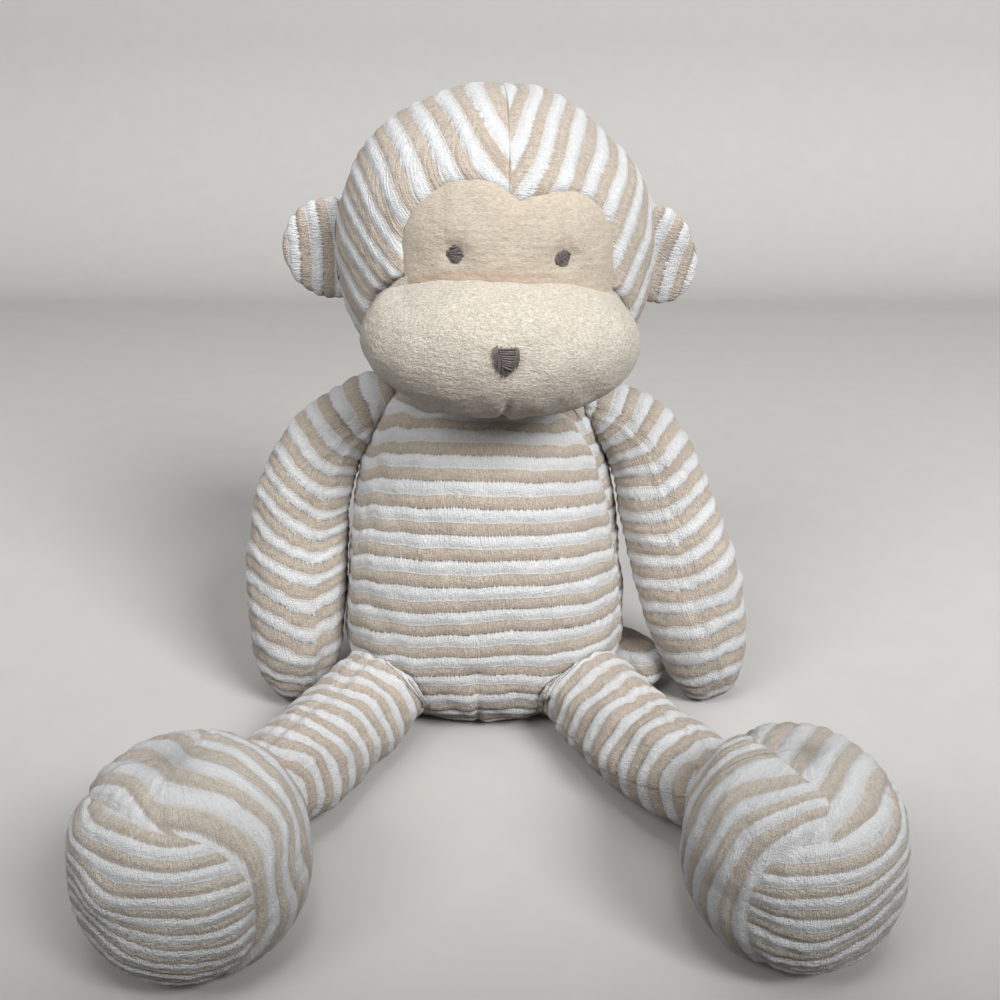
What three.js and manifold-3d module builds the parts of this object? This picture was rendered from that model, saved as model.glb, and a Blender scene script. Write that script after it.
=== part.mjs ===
// A seated plush monkey, sewn from plush panels over fibre stuffing.
//
// Millimetres, +Z up. The toy sits on the table plane z = 0 and looks along -Y.
// The origin is the middle of the flat seat that the torso's weight presses.
// Left and right are as someone who faces the toy sees them, so left is -X.
//
// Every stuffed part is one form: rings square to a curved centre line, which swell
// and taper along it. Its plush panels are wedges of the form's skin, its stuffing is
// the same form drawn in by the plush, and a smaller form is cut by the larger one
// that it is sewn to.

import * as THREE from 'three';
import { mergeVertices } from 'three/addons/utils/BufferGeometryUtils.js';
import Module from 'manifold-3d';

const wasm = await Module();
wasm.setup();

const QUARTER = Math.PI / 2;
const HALF = Math.PI;
const FULL = 2 * Math.PI;

// Materials of the whole toy
const plush = 2.4; // velour or fleece with its pile
const gap = 0.3; // space kept between pieces that touch
const restFlat = 0.5; // how deep the table presses a stuffed form flat
const overrun = 6; // how far a cutter runs past what it cuts
const stitchRise = 0.9; // thickness of satin stitch embroidery
const sweepStep = 7.5; // degrees between the places of a form that a moving piece is cut clear of
const sweepGrain = 0.03; // detail that such a cutter leaves out

const striped = { color: 0xd8cdc0, roughness: 0.95, metalness: 0 };
const cream = { color: 0xe3d6c3, roughness: 0.95, metalness: 0 };
const stitched = { color: 0x574c4a, roughness: 0.6, metalness: 0 };
const fibre = { color: 0xf4f2ec, roughness: 1, metalness: 0 };

// Torso
const torso = {
  height: 121.5,
  halfWidth: 55,
  halfDepth: 43,
  sideSeamBack: 2,
  widthShares: [0.93, 1, 0.99, 0.95, 0.9, 0.84, 0.79],
  depthShares: [0.9, 1, 1, 0.96, 0.88, 0.78, 0.68],
  fullness: 5,
  columns: 24,
  rows: 12,
};

// Head, with the small turn and tilt that it has as it sits
const head = {
  centre: { x: 4.6, y: 4, z: 176 },
  halfWidth: 54.4,
  halfDepth: 50,
  halfHeight: 52.7,
  turn: 0.08,
  tilt: 0.05,
  widthShares: [0.97, 1, 1, 0.98, 0.95],
  fullness: 2.25,
  columns: 28,
  rows: 12,
};

// Neck: the wad of stuffing that the head turns and nods on
const neck = {
  radius: 17,
  height: 126,
  back: 3,
  columns: 24,
  rows: 12,
};

// Face mask: two rounded brows that meet in a notch
const mask = {
  halfWidth: 32.5,
  browHeight: 26.5,
  notchDepth: 6.5,
  base: -0.5,
  skirt: 16,
  browShare: 0.5,
  shoulderShare: 0.62,
  curveSteps: 6,
};

// Muzzle
const muzzle = {
  halfWidth: 44.6,
  halfHeight: 24.6,
  front: 69,
  root: 14,
  drop: 22.2,
  shift: -0.4,
  widthShares: [0.96, 1, 1, 0.96, 0.9],
  fullness: 2.3,
  columns: 20,
  rows: 9,
};

// Embroidery: eyes and nose
const eye = {
  radius: 2.8,
  spread: 16.2,
  rise: 5.8,
  sides: 10,
};
const nose = {
  halfWidth: 4.8,
  height: 10.4,
  top: -16.6,
  cornerShare: 0.35,
  curveSteps: 5,
};

// Ears
const ear = {
  reach: 18.6,
  root: 14,
  halfHeight: 17,
  halfThickness: 4.6,
  rise: -3.6,
  back: 4,
  sweep: 3,
  pivotShare: 0.98,
  fold: { low: -25, high: 25 },
  widthShares: [0.9, 1, 1, 0.98],
  fullness: 2.4,
  columns: 12,
  rows: 8,
};

// Arms: each hangs from its shoulder to the table
const arm = {
  radius: 18.9,
  shoulderSpread: 30,
  shoulderHeight: 121,
  shoulderBack: 5,
  handForward: 12,
  handLift: 0.4,
  pivotSpread: 44,
  pivotHeight: 117,
  pivotBack: 3,
  swing: { low: -100, high: 5 },
  outward: 20,
  radiusShares: [0.7, 0.77, 0.82, 0.87, 0.92, 0.98, 1, 0.98, 0.92],
  forwardShares: [0, 0.1, 0.35, 0.6, 0.75, 0.85, 0.95, 1],
  dropShares: [0, 0.03, 0.12, 0.29, 0.49, 0.64, 0.79, 1],
  fullness: 3,
  columns: 12,
  rows: 11,
};
const leftArm = {
  name: 'left',
  sign: -1,
  handSpread: 45,
  spreadShares: [0, 0.31, 0.63, 0.82, 0.9, 0.95, 0.98, 1],
};
const rightArm = {
  name: 'right',
  sign: 1,
  handSpread: 60,
  spreadShares: [0, 0.24, 0.47, 0.61, 0.75, 0.84, 0.92, 1],
};
const armSides = [leftArm, rightArm];

// Legs: each lies on the table from its hip to its ankle
const leg = {
  halfWidth: 18.2,
  halfHeight: 17,
  hipBack: 4,
  ankleRise: 10,
  pivotBack: -14,
  lift: { low: -80, high: 50 },
  radiusShares: [0.98, 1, 0.98, 0.98, 0.98, 0.9],
  forwardShares: [0, 0.2, 0.41, 0.61, 0.8, 1],
  riseShares: [0, 0, 0.02, 0.1, 0.4, 1],
  fullness: 4,
  columns: 12,
  rows: 11,
};
const leftLeg = {
  name: 'left',
  sign: -1,
  hipSpread: 19,
  ankleSpread: 54,
  ankleForward: 107,
  spreadShares: [0, 0.27, 0.51, 0.7, 0.85, 1],
  footBesideAnkle: 7.2,
  footAheadOfAnkle: 24.7,
  footHalfWidth: 32.8,
};
const rightLeg = {
  name: 'right',
  sign: 1,
  hipSpread: 17,
  ankleSpread: 61,
  ankleForward: 105,
  spreadShares: [0, 0.25, 0.47, 0.64, 0.82, 1],
  footBesideAnkle: 11,
  footAheadOfAnkle: 23.2,
  footHalfWidth: 31,
};
const legSides = [leftLeg, rightLeg];

// Feet: balls that stand on their heels, soles to the front
const foot = {
  halfDepth: 31,
  height: 64.5,
  ankleHeight: 20,
  ankleBack: 25,
  flop: { low: -20, high: 20 },
  soleShare: 0.4,
  widthShares: [0.96, 1, 1, 0.98, 0.94],
  fullness: 2.5,
  columns: 20,
  rows: 11,
};

// Tail: sewn to the back seam, it lies on the table round the torso's right side
const tail = {
  radius: 12,
  rootRadius: 9,
  rootSpread: 4,
  rootBack: 36,
  tipSpread: 66,
  tipBack: -7,
  swing: { low: 0, high: 60 },
  spreadShares: [0, 0.36, 0.66, 0.82, 1],
  backShares: [0, 0.06, 0.42, 0.7, 1],
  swellShares: [0.05, 0, 0, 0.35, 1, 1],
  fullness: 3.2,
  columns: 12,
  rows: 9,
};

/** Value at share s of a table of evenly spaced shares, on a smooth curve through them. */
function smoothShare(shares, s) {
  const place = Math.min(Math.max(s, 0), 1) * (shares.length - 1);
  const start = Math.min(Math.floor(place), shares.length - 2);
  const part = place - start;
  const before = shares[Math.max(start - 1, 0)];
  const from = shares[start];
  const to = shares[start + 1];
  const after = shares[Math.min(start + 2, shares.length - 1)];
  const slopeFrom = (to - before) / 2;
  const slopeTo = (after - from) / 2;
  const square = part * part;
  const cube = square * part;
  return (
    (2 * cube - 3 * square + 1) * from +
    (cube - 2 * square + part) * slopeFrom +
    (3 * square - 2 * cube) * to +
    (cube - square) * slopeTo
  );
}

/**
 * A stuffed form. Point (turn, v, grow) lies on the ring at v, from 0 at the root's pole to
 * 1 at the tip's, at the angle turn about the centre line, with the form grown by grow.
 * slice sets a wedge's edges half a seam gap back from the planes that divide the form.
 */
function stuffedForm({ path, across, widthAt, depthAt, fullness, columns, rows }) {
  const line = new THREE.CatmullRomCurve3(path, false, 'centripetal');
  const length = line.getLength();
  const point = (turn, v, grow, slice) => {
    const along = -Math.cos(HALF * v);
    const place = length / 2 + along * (length / 2 + grow);
    const s = Math.min(Math.max(place / length, 0), 1);
    const tangent = line.getTangentAt(s);
    const wide = across.clone().addScaledVector(tangent, -across.dot(tangent)).normalize();
    const deep = tangent.clone().cross(wide);
    const round = (1 - Math.abs(along) ** fullness) ** (1 / fullness);
    const setBack = slice ? slice.setBack : 0;
    const halfWidth = Math.max((widthAt(s) + grow) * round - setBack, 0);
    const halfDepth = Math.max((depthAt(s) + grow) * round - setBack, 0);
    const result = line.getPointAt(s).addScaledVector(tangent, place - s * length);
    result.addScaledVector(wide, halfWidth * Math.cos(turn));
    result.addScaledVector(deep, halfDepth * Math.sin(turn));
    if (slice) {
      result.addScaledVector(wide, setBack * Math.cos(slice.middle));
      result.addScaledVector(deep, setBack * Math.sin(slice.middle));
    }
    return result;
  };
  return { point, columns, rows };
}

/** Mesh data that joins grids of points, each with a single point at either pole. */
class GridMesh {
  constructor() {
    this.positions = [];
    this.faces = [];
  }

  /** Adds one grid's points and gives the function from column and row to its index. */
  addGrid(columns, rows, closed, pointAt) {
    const base = this.positions.length;
    const width = closed ? columns : columns + 1;
    this.positions.push(pointAt(0, 0));
    for (let row = 1; row < rows; row += 1) {
      for (let column = 0; column < width; column += 1) {
        this.positions.push(pointAt(column / columns, row / rows));
      }
    }
    this.positions.push(pointAt(0, 1));
    const last = this.positions.length - 1;
    return (column, row) => {
      if (row === 0) return base;
      if (row === rows) return last;
      return base + 1 + (row - 1) * width + (closed ? column % columns : column);
    };
  }

  /** Adds a four-sided face as two triangles, leaving out a triangle without area. */
  addQuad(a, b, c, d) {
    for (const face of [[a, b, c], [a, c, d]]) {
      if (new Set(face).size === 3) this.faces.push(face);
    }
  }

  /** The finished geometry, with its faces turned outwards. */
  toGeometry() {
    const corner = new THREE.Vector3();
    const volume = this.faces.reduce((sum, [a, b, c]) => {
      corner.crossVectors(this.positions[b], this.positions[c]);
      return sum + this.positions[a].dot(corner);
    }, 0);
    const faces = volume < 0 ? this.faces.map(([a, b, c]) => [a, c, b]) : this.faces;
    const geometry = new THREE.BufferGeometry();
    geometry.setFromPoints(this.positions);
    geometry.setIndex(faces.flat());
    return geometry;
  }
}

/** The whole form as one closed solid, grown by grow. */
function wholeForm(form, grow) {
  const mesh = new GridMesh();
  const at = mesh.addGrid(form.columns, form.rows, true, (u, v) => form.point(u * FULL, v, grow));
  for (let row = 0; row < form.rows; row += 1) {
    const next = row + 1;
    for (let column = 0; column < form.columns; column += 1) {
      const beside = column + 1;
      mesh.addQuad(at(column, row), at(beside, row), at(beside, next), at(column, next));
    }
  }
  return toSolid(mesh.toGeometry());
}

/** One sewn panel: the form's skin between two angles, as thick as the plush. */
function panel(form, from, to) {
  const slice = { middle: (from + to) / 2, setBack: gap / 2 / Math.sin((to - from) / 2) };
  const columns = Math.round((form.columns * (to - from)) / FULL);
  const turnAt = (u) => from + u * (to - from);
  const mesh = new GridMesh();
  const outer = mesh.addGrid(columns, form.rows, false, (u, v) => form.point(turnAt(u), v, 0, slice));
  const inner = mesh.addGrid(columns, form.rows, false, (u, v) => form.point(turnAt(u), v, -plush, slice));
  for (let row = 0; row < form.rows; row += 1) {
    const next = row + 1;
    for (let column = 0; column < columns; column += 1) {
      const beside = column + 1;
      mesh.addQuad(outer(column, row), outer(beside, row), outer(beside, next), outer(column, next));
      mesh.addQuad(inner(column, row), inner(column, next), inner(beside, next), inner(beside, row));
    }
    mesh.addQuad(outer(0, row), outer(0, next), inner(0, next), inner(0, row));
    mesh.addQuad(outer(columns, row), inner(columns, row), inner(columns, next), outer(columns, next));
  }
  return toSolid(mesh.toGeometry());
}

/** Half of a flat padded form, with a flat inner face on its seam. */
function paddedHalf(form, from) {
  const slice = { middle: from + QUARTER, setBack: gap / 2 };
  const columns = form.columns / 2;
  const mesh = new GridMesh();
  const outer = mesh.addGrid(columns, form.rows, false, (u, v) => form.point(from + u * HALF, v, 0, slice));
  for (let row = 0; row < form.rows; row += 1) {
    const next = row + 1;
    for (let column = 0; column < columns; column += 1) {
      const beside = column + 1;
      mesh.addQuad(outer(column, row), outer(beside, row), outer(beside, next), outer(column, next));
    }
    mesh.addQuad(outer(0, row), outer(0, next), outer(columns, next), outer(columns, row));
  }
  return toSolid(mesh.toGeometry());
}

/** What fills the form inside its panels, on every second of their columns. */
function stuffing(form) {
  return wholeForm({ ...form, columns: form.columns / 2 }, -plush - 2 * gap);
}

/** A three.js geometry as a solid that can be joined and cut. */
function toSolid(geometry) {
  const bare = geometry.clone();
  bare.deleteAttribute('normal');
  bare.deleteAttribute('uv');
  const merged = mergeVertices(bare);
  const vertProperties = new Float32Array(merged.attributes.position.array);
  const triVerts = new Uint32Array(merged.index.array);
  return new wasm.Manifold(new wasm.Mesh({ numProp: 3, vertProperties, triVerts }));
}

/** A solid back as a three.js geometry with flat faces. */
function toGeometry(solid) {
  const { vertProperties, triVerts } = solid.getMesh();
  const geometry = new THREE.BufferGeometry();
  geometry.setAttribute('position', new THREE.BufferAttribute(vertProperties, 3));
  geometry.setIndex(new THREE.BufferAttribute(triVerts, 1));
  geometry.computeVertexNormals();
  return geometry;
}

/** A solid with each cutter taken away. */
function cut(solid, ...cutters) {
  return cutters.reduce((left, cutter) => left.subtract(cutter), solid);
}

/** A form's whole solid, grown by the gap that its neighbours keep. */
function cutterOf(form) {
  return wholeForm(form, gap);
}

/**
 * What a solid takes up beside a piece that turns about an axis through a pivot, over the
 * piece's whole range in degrees. Seen from the piece, the solid turns the other way.
 */
function sweptCutter(solid, pivot, axis, range) {
  const steps = Math.ceil((range.high - range.low) / sweepStep);
  const there = new THREE.Matrix4().makeTranslation(pivot.x, pivot.y, pivot.z);
  const back = there.clone().invert();
  const copies = Array.from({ length: steps + 1 }, (_, k) => {
    const degrees = range.low + ((range.high - range.low) * k) / steps;
    const turned = new THREE.Matrix4().makeRotationAxis(axis, THREE.MathUtils.degToRad(-degrees));
    return solid.transform(there.clone().multiply(turned).multiply(back).elements);
  });
  return wasm.Manifold.union(copies).simplify(sweepGrain);
}

/** The named mesh of one piece. Its place is its pivot's, and its geometry is measured from there. */
function piece(name, solid, finish, pivot) {
  const geometry = toGeometry(solid);
  if (pivot) geometry.translate(-pivot.x, -pivot.y, -pivot.z);
  const mesh = new THREE.Mesh(geometry, new THREE.MeshStandardMaterial({ ...finish, flatShading: true }));
  mesh.name = name;
  return mesh;
}

/** A group at a pivot that holds the meshes of one moving body. */
function bodyAt(pivot, ...meshes) {
  const group = new THREE.Group();
  group.position.copy(pivot);
  group.add(...meshes);
  return group;
}

/** Everything below the table plane, as far as the toy reaches. */
function tableCutter() {
  const span = 4 * torso.height;
  const slab = new THREE.BoxGeometry(span, span, overrun);
  slab.translate(0, 0, -overrun / 2);
  return toSolid(slab);
}

/** The torso's form: a pear that stands on the table. */
function torsoForm() {
  const path = [-restFlat, torso.height].map((z) => new THREE.Vector3(0, torso.sideSeamBack, z));
  return stuffedForm({
    path,
    across: new THREE.Vector3(1, 0, 0),
    widthAt: (s) => torso.halfWidth * smoothShare(torso.widthShares, s),
    depthAt: (s) => torso.halfDepth * smoothShare(torso.depthShares, s),
    ...torso,
  });
}

/** The ball of stuffing in the neck, round the point that the head moves about. */
function neckForm() {
  const middle = neckPoint();
  const reach = new THREE.Vector3(0, 0, neck.radius);
  return stuffedForm({
    path: [middle.clone().sub(reach), middle.clone().add(reach)],
    across: new THREE.Vector3(1, 0, 0),
    widthAt: () => neck.radius,
    depthAt: () => neck.radius,
    fullness: 2,
    ...neck,
  });
}

/** The middle of the neck. */
function neckPoint() {
  return new THREE.Vector3(0, neck.back, neck.height);
}

/** Turns and places a geometry of the head's own frame, centred on the head, into the toy's frame. */
function headMatrix() {
  const turned = new THREE.Euler(0, head.tilt, head.turn);
  const place = new THREE.Matrix4().makeTranslation(head.centre.x, head.centre.y, head.centre.z);
  return place.multiply(new THREE.Matrix4().makeRotationFromEuler(turned));
}

/** The head's form in its own frame. */
function headForm() {
  return stuffedForm({
    path: [new THREE.Vector3(0, 0, -head.halfHeight), new THREE.Vector3(0, 0, head.halfHeight)],
    across: new THREE.Vector3(1, 0, 0),
    widthAt: (s) => head.halfWidth * smoothShare(head.widthShares, s),
    depthAt: (s) => head.halfDepth * smoothShare(head.widthShares, s),
    ...head,
  });
}

/** The muzzle's form in the head's frame: a wide bulge that points to the front. */
function muzzleForm() {
  const root = new THREE.Vector3(muzzle.shift, -muzzle.root, -muzzle.drop);
  const tip = new THREE.Vector3(muzzle.shift, -muzzle.front, -muzzle.drop);
  return stuffedForm({
    path: [root, tip],
    across: new THREE.Vector3(1, 0, 0),
    widthAt: (s) => muzzle.halfWidth * smoothShare(muzzle.widthShares, s),
    depthAt: (s) => muzzle.halfHeight * smoothShare(muzzle.widthShares, s),
    ...muzzle,
  });
}

/** A flat outline of x and z in the head's frame, run forward through the face from a depth in it. */
function throughFace(shape, curveSegments, start) {
  const depth = muzzle.front + overrun - start;
  const prism = new THREE.ExtrudeGeometry(shape, { depth, bevelEnabled: false, curveSegments });
  prism.rotateX(QUARTER);
  prism.translate(0, -start, 0);
  return toSolid(prism);
}

/** The mask's outline, grown by grow: two brows, a notch between them, and a skirt under the muzzle. */
function maskOutline(grow) {
  const side = mask.halfWidth + grow;
  const top = mask.base + mask.browHeight + grow;
  const notch = top - mask.notchDepth;
  const brow = side * mask.browShare;
  const shoulder = mask.base + mask.browHeight * mask.shoulderShare;
  const shape = new THREE.Shape();
  shape.moveTo(-side, mask.base - mask.skirt - grow);
  shape.lineTo(side, mask.base - mask.skirt - grow);
  shape.lineTo(side, mask.base);
  shape.bezierCurveTo(side, shoulder, side, top, brow, top);
  shape.quadraticCurveTo(brow / 2, top, 0, notch);
  shape.quadraticCurveTo(-brow / 2, top, -brow, top);
  shape.bezierCurveTo(-side, top, -side, shoulder, -side, mask.base);
  return throughFace(shape, mask.curveSteps, 0);
}

/** The nose's outline: a flat top with soft corners, drawn down to a round point. */
function noseOutline() {
  const side = nose.halfWidth;
  const corner = side * nose.cornerShare;
  const bottom = nose.top - nose.height;
  const shape = new THREE.Shape();
  shape.moveTo(-side + corner, nose.top);
  shape.lineTo(side - corner, nose.top);
  shape.quadraticCurveTo(side, nose.top, side, nose.top - corner);
  shape.bezierCurveTo(side, nose.top - nose.height / 2, corner, bottom, 0, bottom);
  shape.bezierCurveTo(-corner, bottom, -side, nose.top - nose.height / 2, -side, nose.top - corner);
  shape.quadraticCurveTo(-side, nose.top, -side + corner, nose.top);
  return throughFace(shape, nose.curveSteps, (muzzle.root + muzzle.front) / 2);
}

/** An eye's round outline on the given side. */
function eyeOutline(sign) {
  const shape = new THREE.Shape();
  shape.absarc(sign * eye.spread, eye.rise, eye.radius, 0, FULL, false);
  return throughFace(shape, eye.sides, 0);
}

/** A thread layer on a form, inside an outline. */
function stitches(outline, form) {
  return outline.intersect(wholeForm(form, gap + stitchRise)).subtract(wholeForm(form, gap));
}

/** The ear's form in the head's frame: a padded half disc that stands out of the side. */
function earForm(sign) {
  const inner = head.halfWidth - ear.root;
  const outer = head.halfWidth + ear.reach;
  const path = [
    new THREE.Vector3(sign * inner, ear.back, ear.rise),
    new THREE.Vector3(sign * outer, ear.back + ear.sweep, ear.rise),
  ];
  return stuffedForm({
    path,
    across: new THREE.Vector3(0, 0, 1),
    widthAt: (s) => ear.halfHeight * smoothShare(ear.widthShares, s),
    depthAt: () => ear.halfThickness,
    ...ear,
  });
}

/** An arm's form, from inside the shoulder to the hand. */
function armForm(side) {
  const path = side.spreadShares.map((share, k) => new THREE.Vector3(
    side.sign * (arm.shoulderSpread + side.handSpread * share),
    arm.shoulderBack - arm.handForward * arm.forwardShares[k],
    arm.shoulderHeight - (arm.shoulderHeight - arm.handLift) * arm.dropShares[k],
  ));
  const radiusAt = (s) => arm.radius * smoothShare(arm.radiusShares, s);
  const across = new THREE.Vector3(1, 0, 0);
  return stuffedForm({ path, across, widthAt: radiusAt, depthAt: radiusAt, ...arm });
}

/** A leg's form, from inside the hip to inside the foot. */
function legForm(side) {
  const path = side.spreadShares.map((share, k) => new THREE.Vector3(
    side.sign * (side.hipSpread + side.ankleSpread * share),
    leg.hipBack - (side.ankleForward + leg.hipBack) * leg.forwardShares[k],
    leg.halfHeight - restFlat + leg.ankleRise * leg.riseShares[k],
  ));
  const widthAt = (s) => leg.halfWidth * smoothShare(leg.radiusShares, s);
  const depthAt = (s) => leg.halfHeight * smoothShare(leg.radiusShares, s);
  return stuffedForm({ path, across: new THREE.Vector3(1, 0, 0), widthAt, depthAt, ...leg });
}

/** Where a foot's middle stands on the table, measured from its leg's ankle. */
function footPlace(side) {
  const x = side.hipSpread + side.ankleSpread + side.footBesideAnkle;
  return new THREE.Vector3(side.sign * x, -(side.ankleForward + side.footAheadOfAnkle), -restFlat);
}

/** A foot's form: a ball on its heel. */
function footForm(side) {
  const base = footPlace(side);
  const path = [base, new THREE.Vector3(base.x, base.y, foot.height)];
  return stuffedForm({
    path,
    across: new THREE.Vector3(1, 0, 0),
    widthAt: (s) => side.footHalfWidth * smoothShare(foot.widthShares, s),
    depthAt: (s) => foot.halfDepth * smoothShare(foot.widthShares, s),
    ...foot,
  });
}

/** Where a foot turns on its leg. */
function anklePoint(side) {
  const base = footPlace(side);
  return new THREE.Vector3(base.x, base.y + foot.ankleBack, foot.ankleHeight);
}

/** The tail's form, from inside the torso's back to its tip. */
function tailForm() {
  const swell = tail.radius - tail.rootRadius;
  const radiusAt = (s) => tail.rootRadius + swell * smoothShare(tail.swellShares, s);
  const path = tail.spreadShares.map((share, k) => new THREE.Vector3(
    tail.rootSpread + (tail.tipSpread - tail.rootSpread) * share,
    tail.rootBack + (tail.tipBack - tail.rootBack) * tail.backShares[k],
    radiusAt(k / (tail.spreadShares.length - 1)) - restFlat,
  ));
  const across = new THREE.Vector3(0, 0, 1);
  return stuffedForm({ path, across, widthAt: radiusAt, depthAt: radiusAt, ...tail });
}

/** The torso: front and back panels and stuffing, dished for the neck. */
function makeTorso(shapes, table) {
  const neckCutter = cutterOf(shapes.neck);
  const trim = (solid) => cut(solid, neckCutter, table);
  return [
    piece('torso_front_panel', trim(panel(shapes.torso, HALF, FULL)), striped),
    piece('torso_back_panel', trim(panel(shapes.torso, 0, HALF)), striped),
    piece('torso_stuffing', cut(stuffing(shapes.torso), neckCutter), fibre),
  ];
}

/** The head's own pieces in the head's frame, and the muzzle and mask that its panels go round. */
function makeHead(shapes) {
  const toHead = headMatrix().invert();
  const neckCutter = cutterOf(shapes.neck).transform(toHead.elements);
  const muzzleCutter = cutterOf(shapes.muzzle);
  const maskCutter = maskOutline(gap);
  const filling = wholeForm(shapes.head, -plush - gap);
  const headSkin = wholeForm(shapes.head, 0).subtract(wholeForm(shapes.head, -plush));
  const trim = (solid) => cut(solid, neckCutter, muzzleCutter, maskCutter);
  const muzzleSkin = wholeForm(shapes.muzzle, 0).subtract(wholeForm(shapes.muzzle, -plush));
  const group = new THREE.Group();
  group.applyMatrix4(headMatrix());
  group.add(
    piece('head_left_panel', trim(panel(shapes.head, HALF, HALF + QUARTER)), striped),
    piece('head_right_panel', trim(panel(shapes.head, HALF + QUARTER, FULL)), striped),
    piece('head_back_panel', cut(panel(shapes.head, 0, HALF), neckCutter), striped),
    piece('head_stuffing', cut(stuffing(shapes.head), neckCutter), fibre),
    piece('face_mask', cut(headSkin.intersect(maskOutline(0)), muzzleCutter), cream),
    piece('muzzle_panel', cut(muzzleSkin, filling), cream),
    piece('muzzle_stuffing', cut(stuffing(shapes.muzzle), filling), fibre),
    piece('eye_left', stitches(eyeOutline(-1), shapes.head), stitched),
    piece('eye_right', stitches(eyeOutline(1), shapes.head), stitched),
    piece('nose', stitches(noseOutline(), shapes.muzzle), stitched),
    ...makeEar('left', -1, shapes),
    ...makeEar('right', 1, shapes),
  );
  return group;
}

/** One ear: a front and a back panel, sewn together round the rim and into the head's side. */
function makeEar(name, sign, shapes) {
  const form = earForm(sign);
  const pivot = new THREE.Vector3(sign * head.halfWidth * ear.pivotShare, ear.back, ear.rise);
  const up = new THREE.Vector3(0, 0, 1);
  const cutter = sweptCutter(cutterOf(shapes.head), pivot, up, ear.fold);
  const front = sign > 0 ? HALF : 0;
  return [
    piece(`ear_${name}_front_panel`, cut(paddedHalf(form, front), cutter), striped),
    piece(`ear_${name}_back_panel`, cut(paddedHalf(form, HALF - front), cutter), striped),
  ];
}

/** One arm: two panels that meet in seams down its front and back, and stuffing. */
function makeArm(side, shapes) {
  const form = armForm(side);
  const pivot = new THREE.Vector3(side.sign * arm.pivotSpread, arm.pivotBack, arm.pivotHeight);
  const outward = side.sign * THREE.MathUtils.degToRad(arm.outward);
  const axis = new THREE.Vector3(Math.cos(outward), Math.sin(outward), 0);
  const cutter = sweptCutter(cutterOf(shapes.torso), pivot, axis, arm.swing);
  const outer = side.sign > 0 ? -QUARTER : QUARTER;
  return bodyAt(
    pivot,
    piece(`arm_${side.name}_outer_panel`, cut(panel(form, outer, outer + HALF), cutter), striped, pivot),
    piece(`arm_${side.name}_inner_panel`, cut(panel(form, outer - HALF, outer), cutter), striped, pivot),
    piece(`arm_${side.name}_stuffing`, cut(stuffing(form), cutter), fibre, pivot),
  );
}

/** One leg: two panels that meet in seams along its top and underside, and stuffing. */
function makeLeg(side, shapes, table) {
  const form = legForm(side);
  const pivot = new THREE.Vector3(side.sign * side.hipSpread, leg.pivotBack, leg.halfHeight);
  const cutters = [
    sweptCutter(cutterOf(shapes.torso), pivot, new THREE.Vector3(-1, 0, 0), leg.lift),
    sweptCutter(cutterOf(footForm(side)), anklePoint(side), new THREE.Vector3(-1, 0, 0), foot.flop),
  ];
  const outer = side.sign > 0 ? -QUARTER : QUARTER;
  const trim = (solid) => cut(solid, ...cutters, table);
  return bodyAt(
    pivot,
    piece(`leg_${side.name}_outer_panel`, trim(panel(form, outer, outer + HALF)), striped, pivot),
    piece(`leg_${side.name}_inner_panel`, trim(panel(form, outer - HALF, outer)), striped, pivot),
    piece(`leg_${side.name}_stuffing`, cut(stuffing(form), ...cutters), fibre, pivot),
  );
}

/** One foot: a sole at the front, two upper panels that meet over the instep, and stuffing. */
function makeFoot(side, table) {
  const form = footForm(side);
  const pivot = anklePoint(side);
  const soleEdge = HALF * foot.soleShare;
  const front = HALF + QUARTER;
  const [right, left] = side.sign > 0 ? ['outer', 'inner'] : ['inner', 'outer'];
  const wedge = (from, to) => cut(panel(form, from, to), table);
  const name = `foot_${side.name}`;
  return bodyAt(
    pivot,
    piece(`${name}_sole`, wedge(front - soleEdge, front + soleEdge), striped, pivot),
    piece(`${name}_${right}_panel`, wedge(front + soleEdge, FULL + QUARTER), striped, pivot),
    piece(`${name}_${left}_panel`, wedge(QUARTER, front - soleEdge), striped, pivot),
    piece(`${name}_stuffing`, stuffing(form), fibre, pivot),
  );
}

/** The tail: two panels with seams along its top and underside, and stuffing. */
function makeTail(shapes, table) {
  const form = tailForm();
  const pivot = new THREE.Vector3(tail.rootSpread, tail.rootBack, tail.rootRadius);
  const cutter = sweptCutter(cutterOf(shapes.torso), pivot, new THREE.Vector3(0, 0, 1), tail.swing);
  return bodyAt(
    pivot,
    piece('tail_outer_panel', cut(panel(form, 0, HALF), cutter, table), striped, pivot),
    piece('tail_inner_panel', cut(panel(form, HALF, FULL), cutter, table), striped, pivot),
    piece('tail_stuffing', cut(stuffing(form), cutter), fibre, pivot),
  );
}

const shapes = { torso: torsoForm(), neck: neckForm(), head: headForm(), muzzle: muzzleForm() };
const table = tableCutter();

const monkey = new THREE.Group();
monkey.add(
  ...makeTorso(shapes, table),
  piece('neck_stuffing', wholeForm(shapes.neck, 0), fibre),
  makeHead(shapes),
  ...armSides.map((side) => makeArm(side, shapes)),
  ...legSides.map((side) => makeLeg(side, shapes, table)),
  ...legSides.map((side) => makeFoot(side, table)),
  makeTail(shapes, table),
);

export default monkey;
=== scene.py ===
# %% [markdown]
# # A striped plush monkey
#
# The toy is sewn from striped velour, filled with loose fibre, and sits on a pale table.
# Every stuffed part is one closed skin. It starts as a smooth form, a round profile that travels along
# a line, is blown up a little as cloth so that the seams draw in, and then gets the pile's relief.
# All lengths are in millimetres until a mesh is written, because a sewn toy is measured in them.

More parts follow.
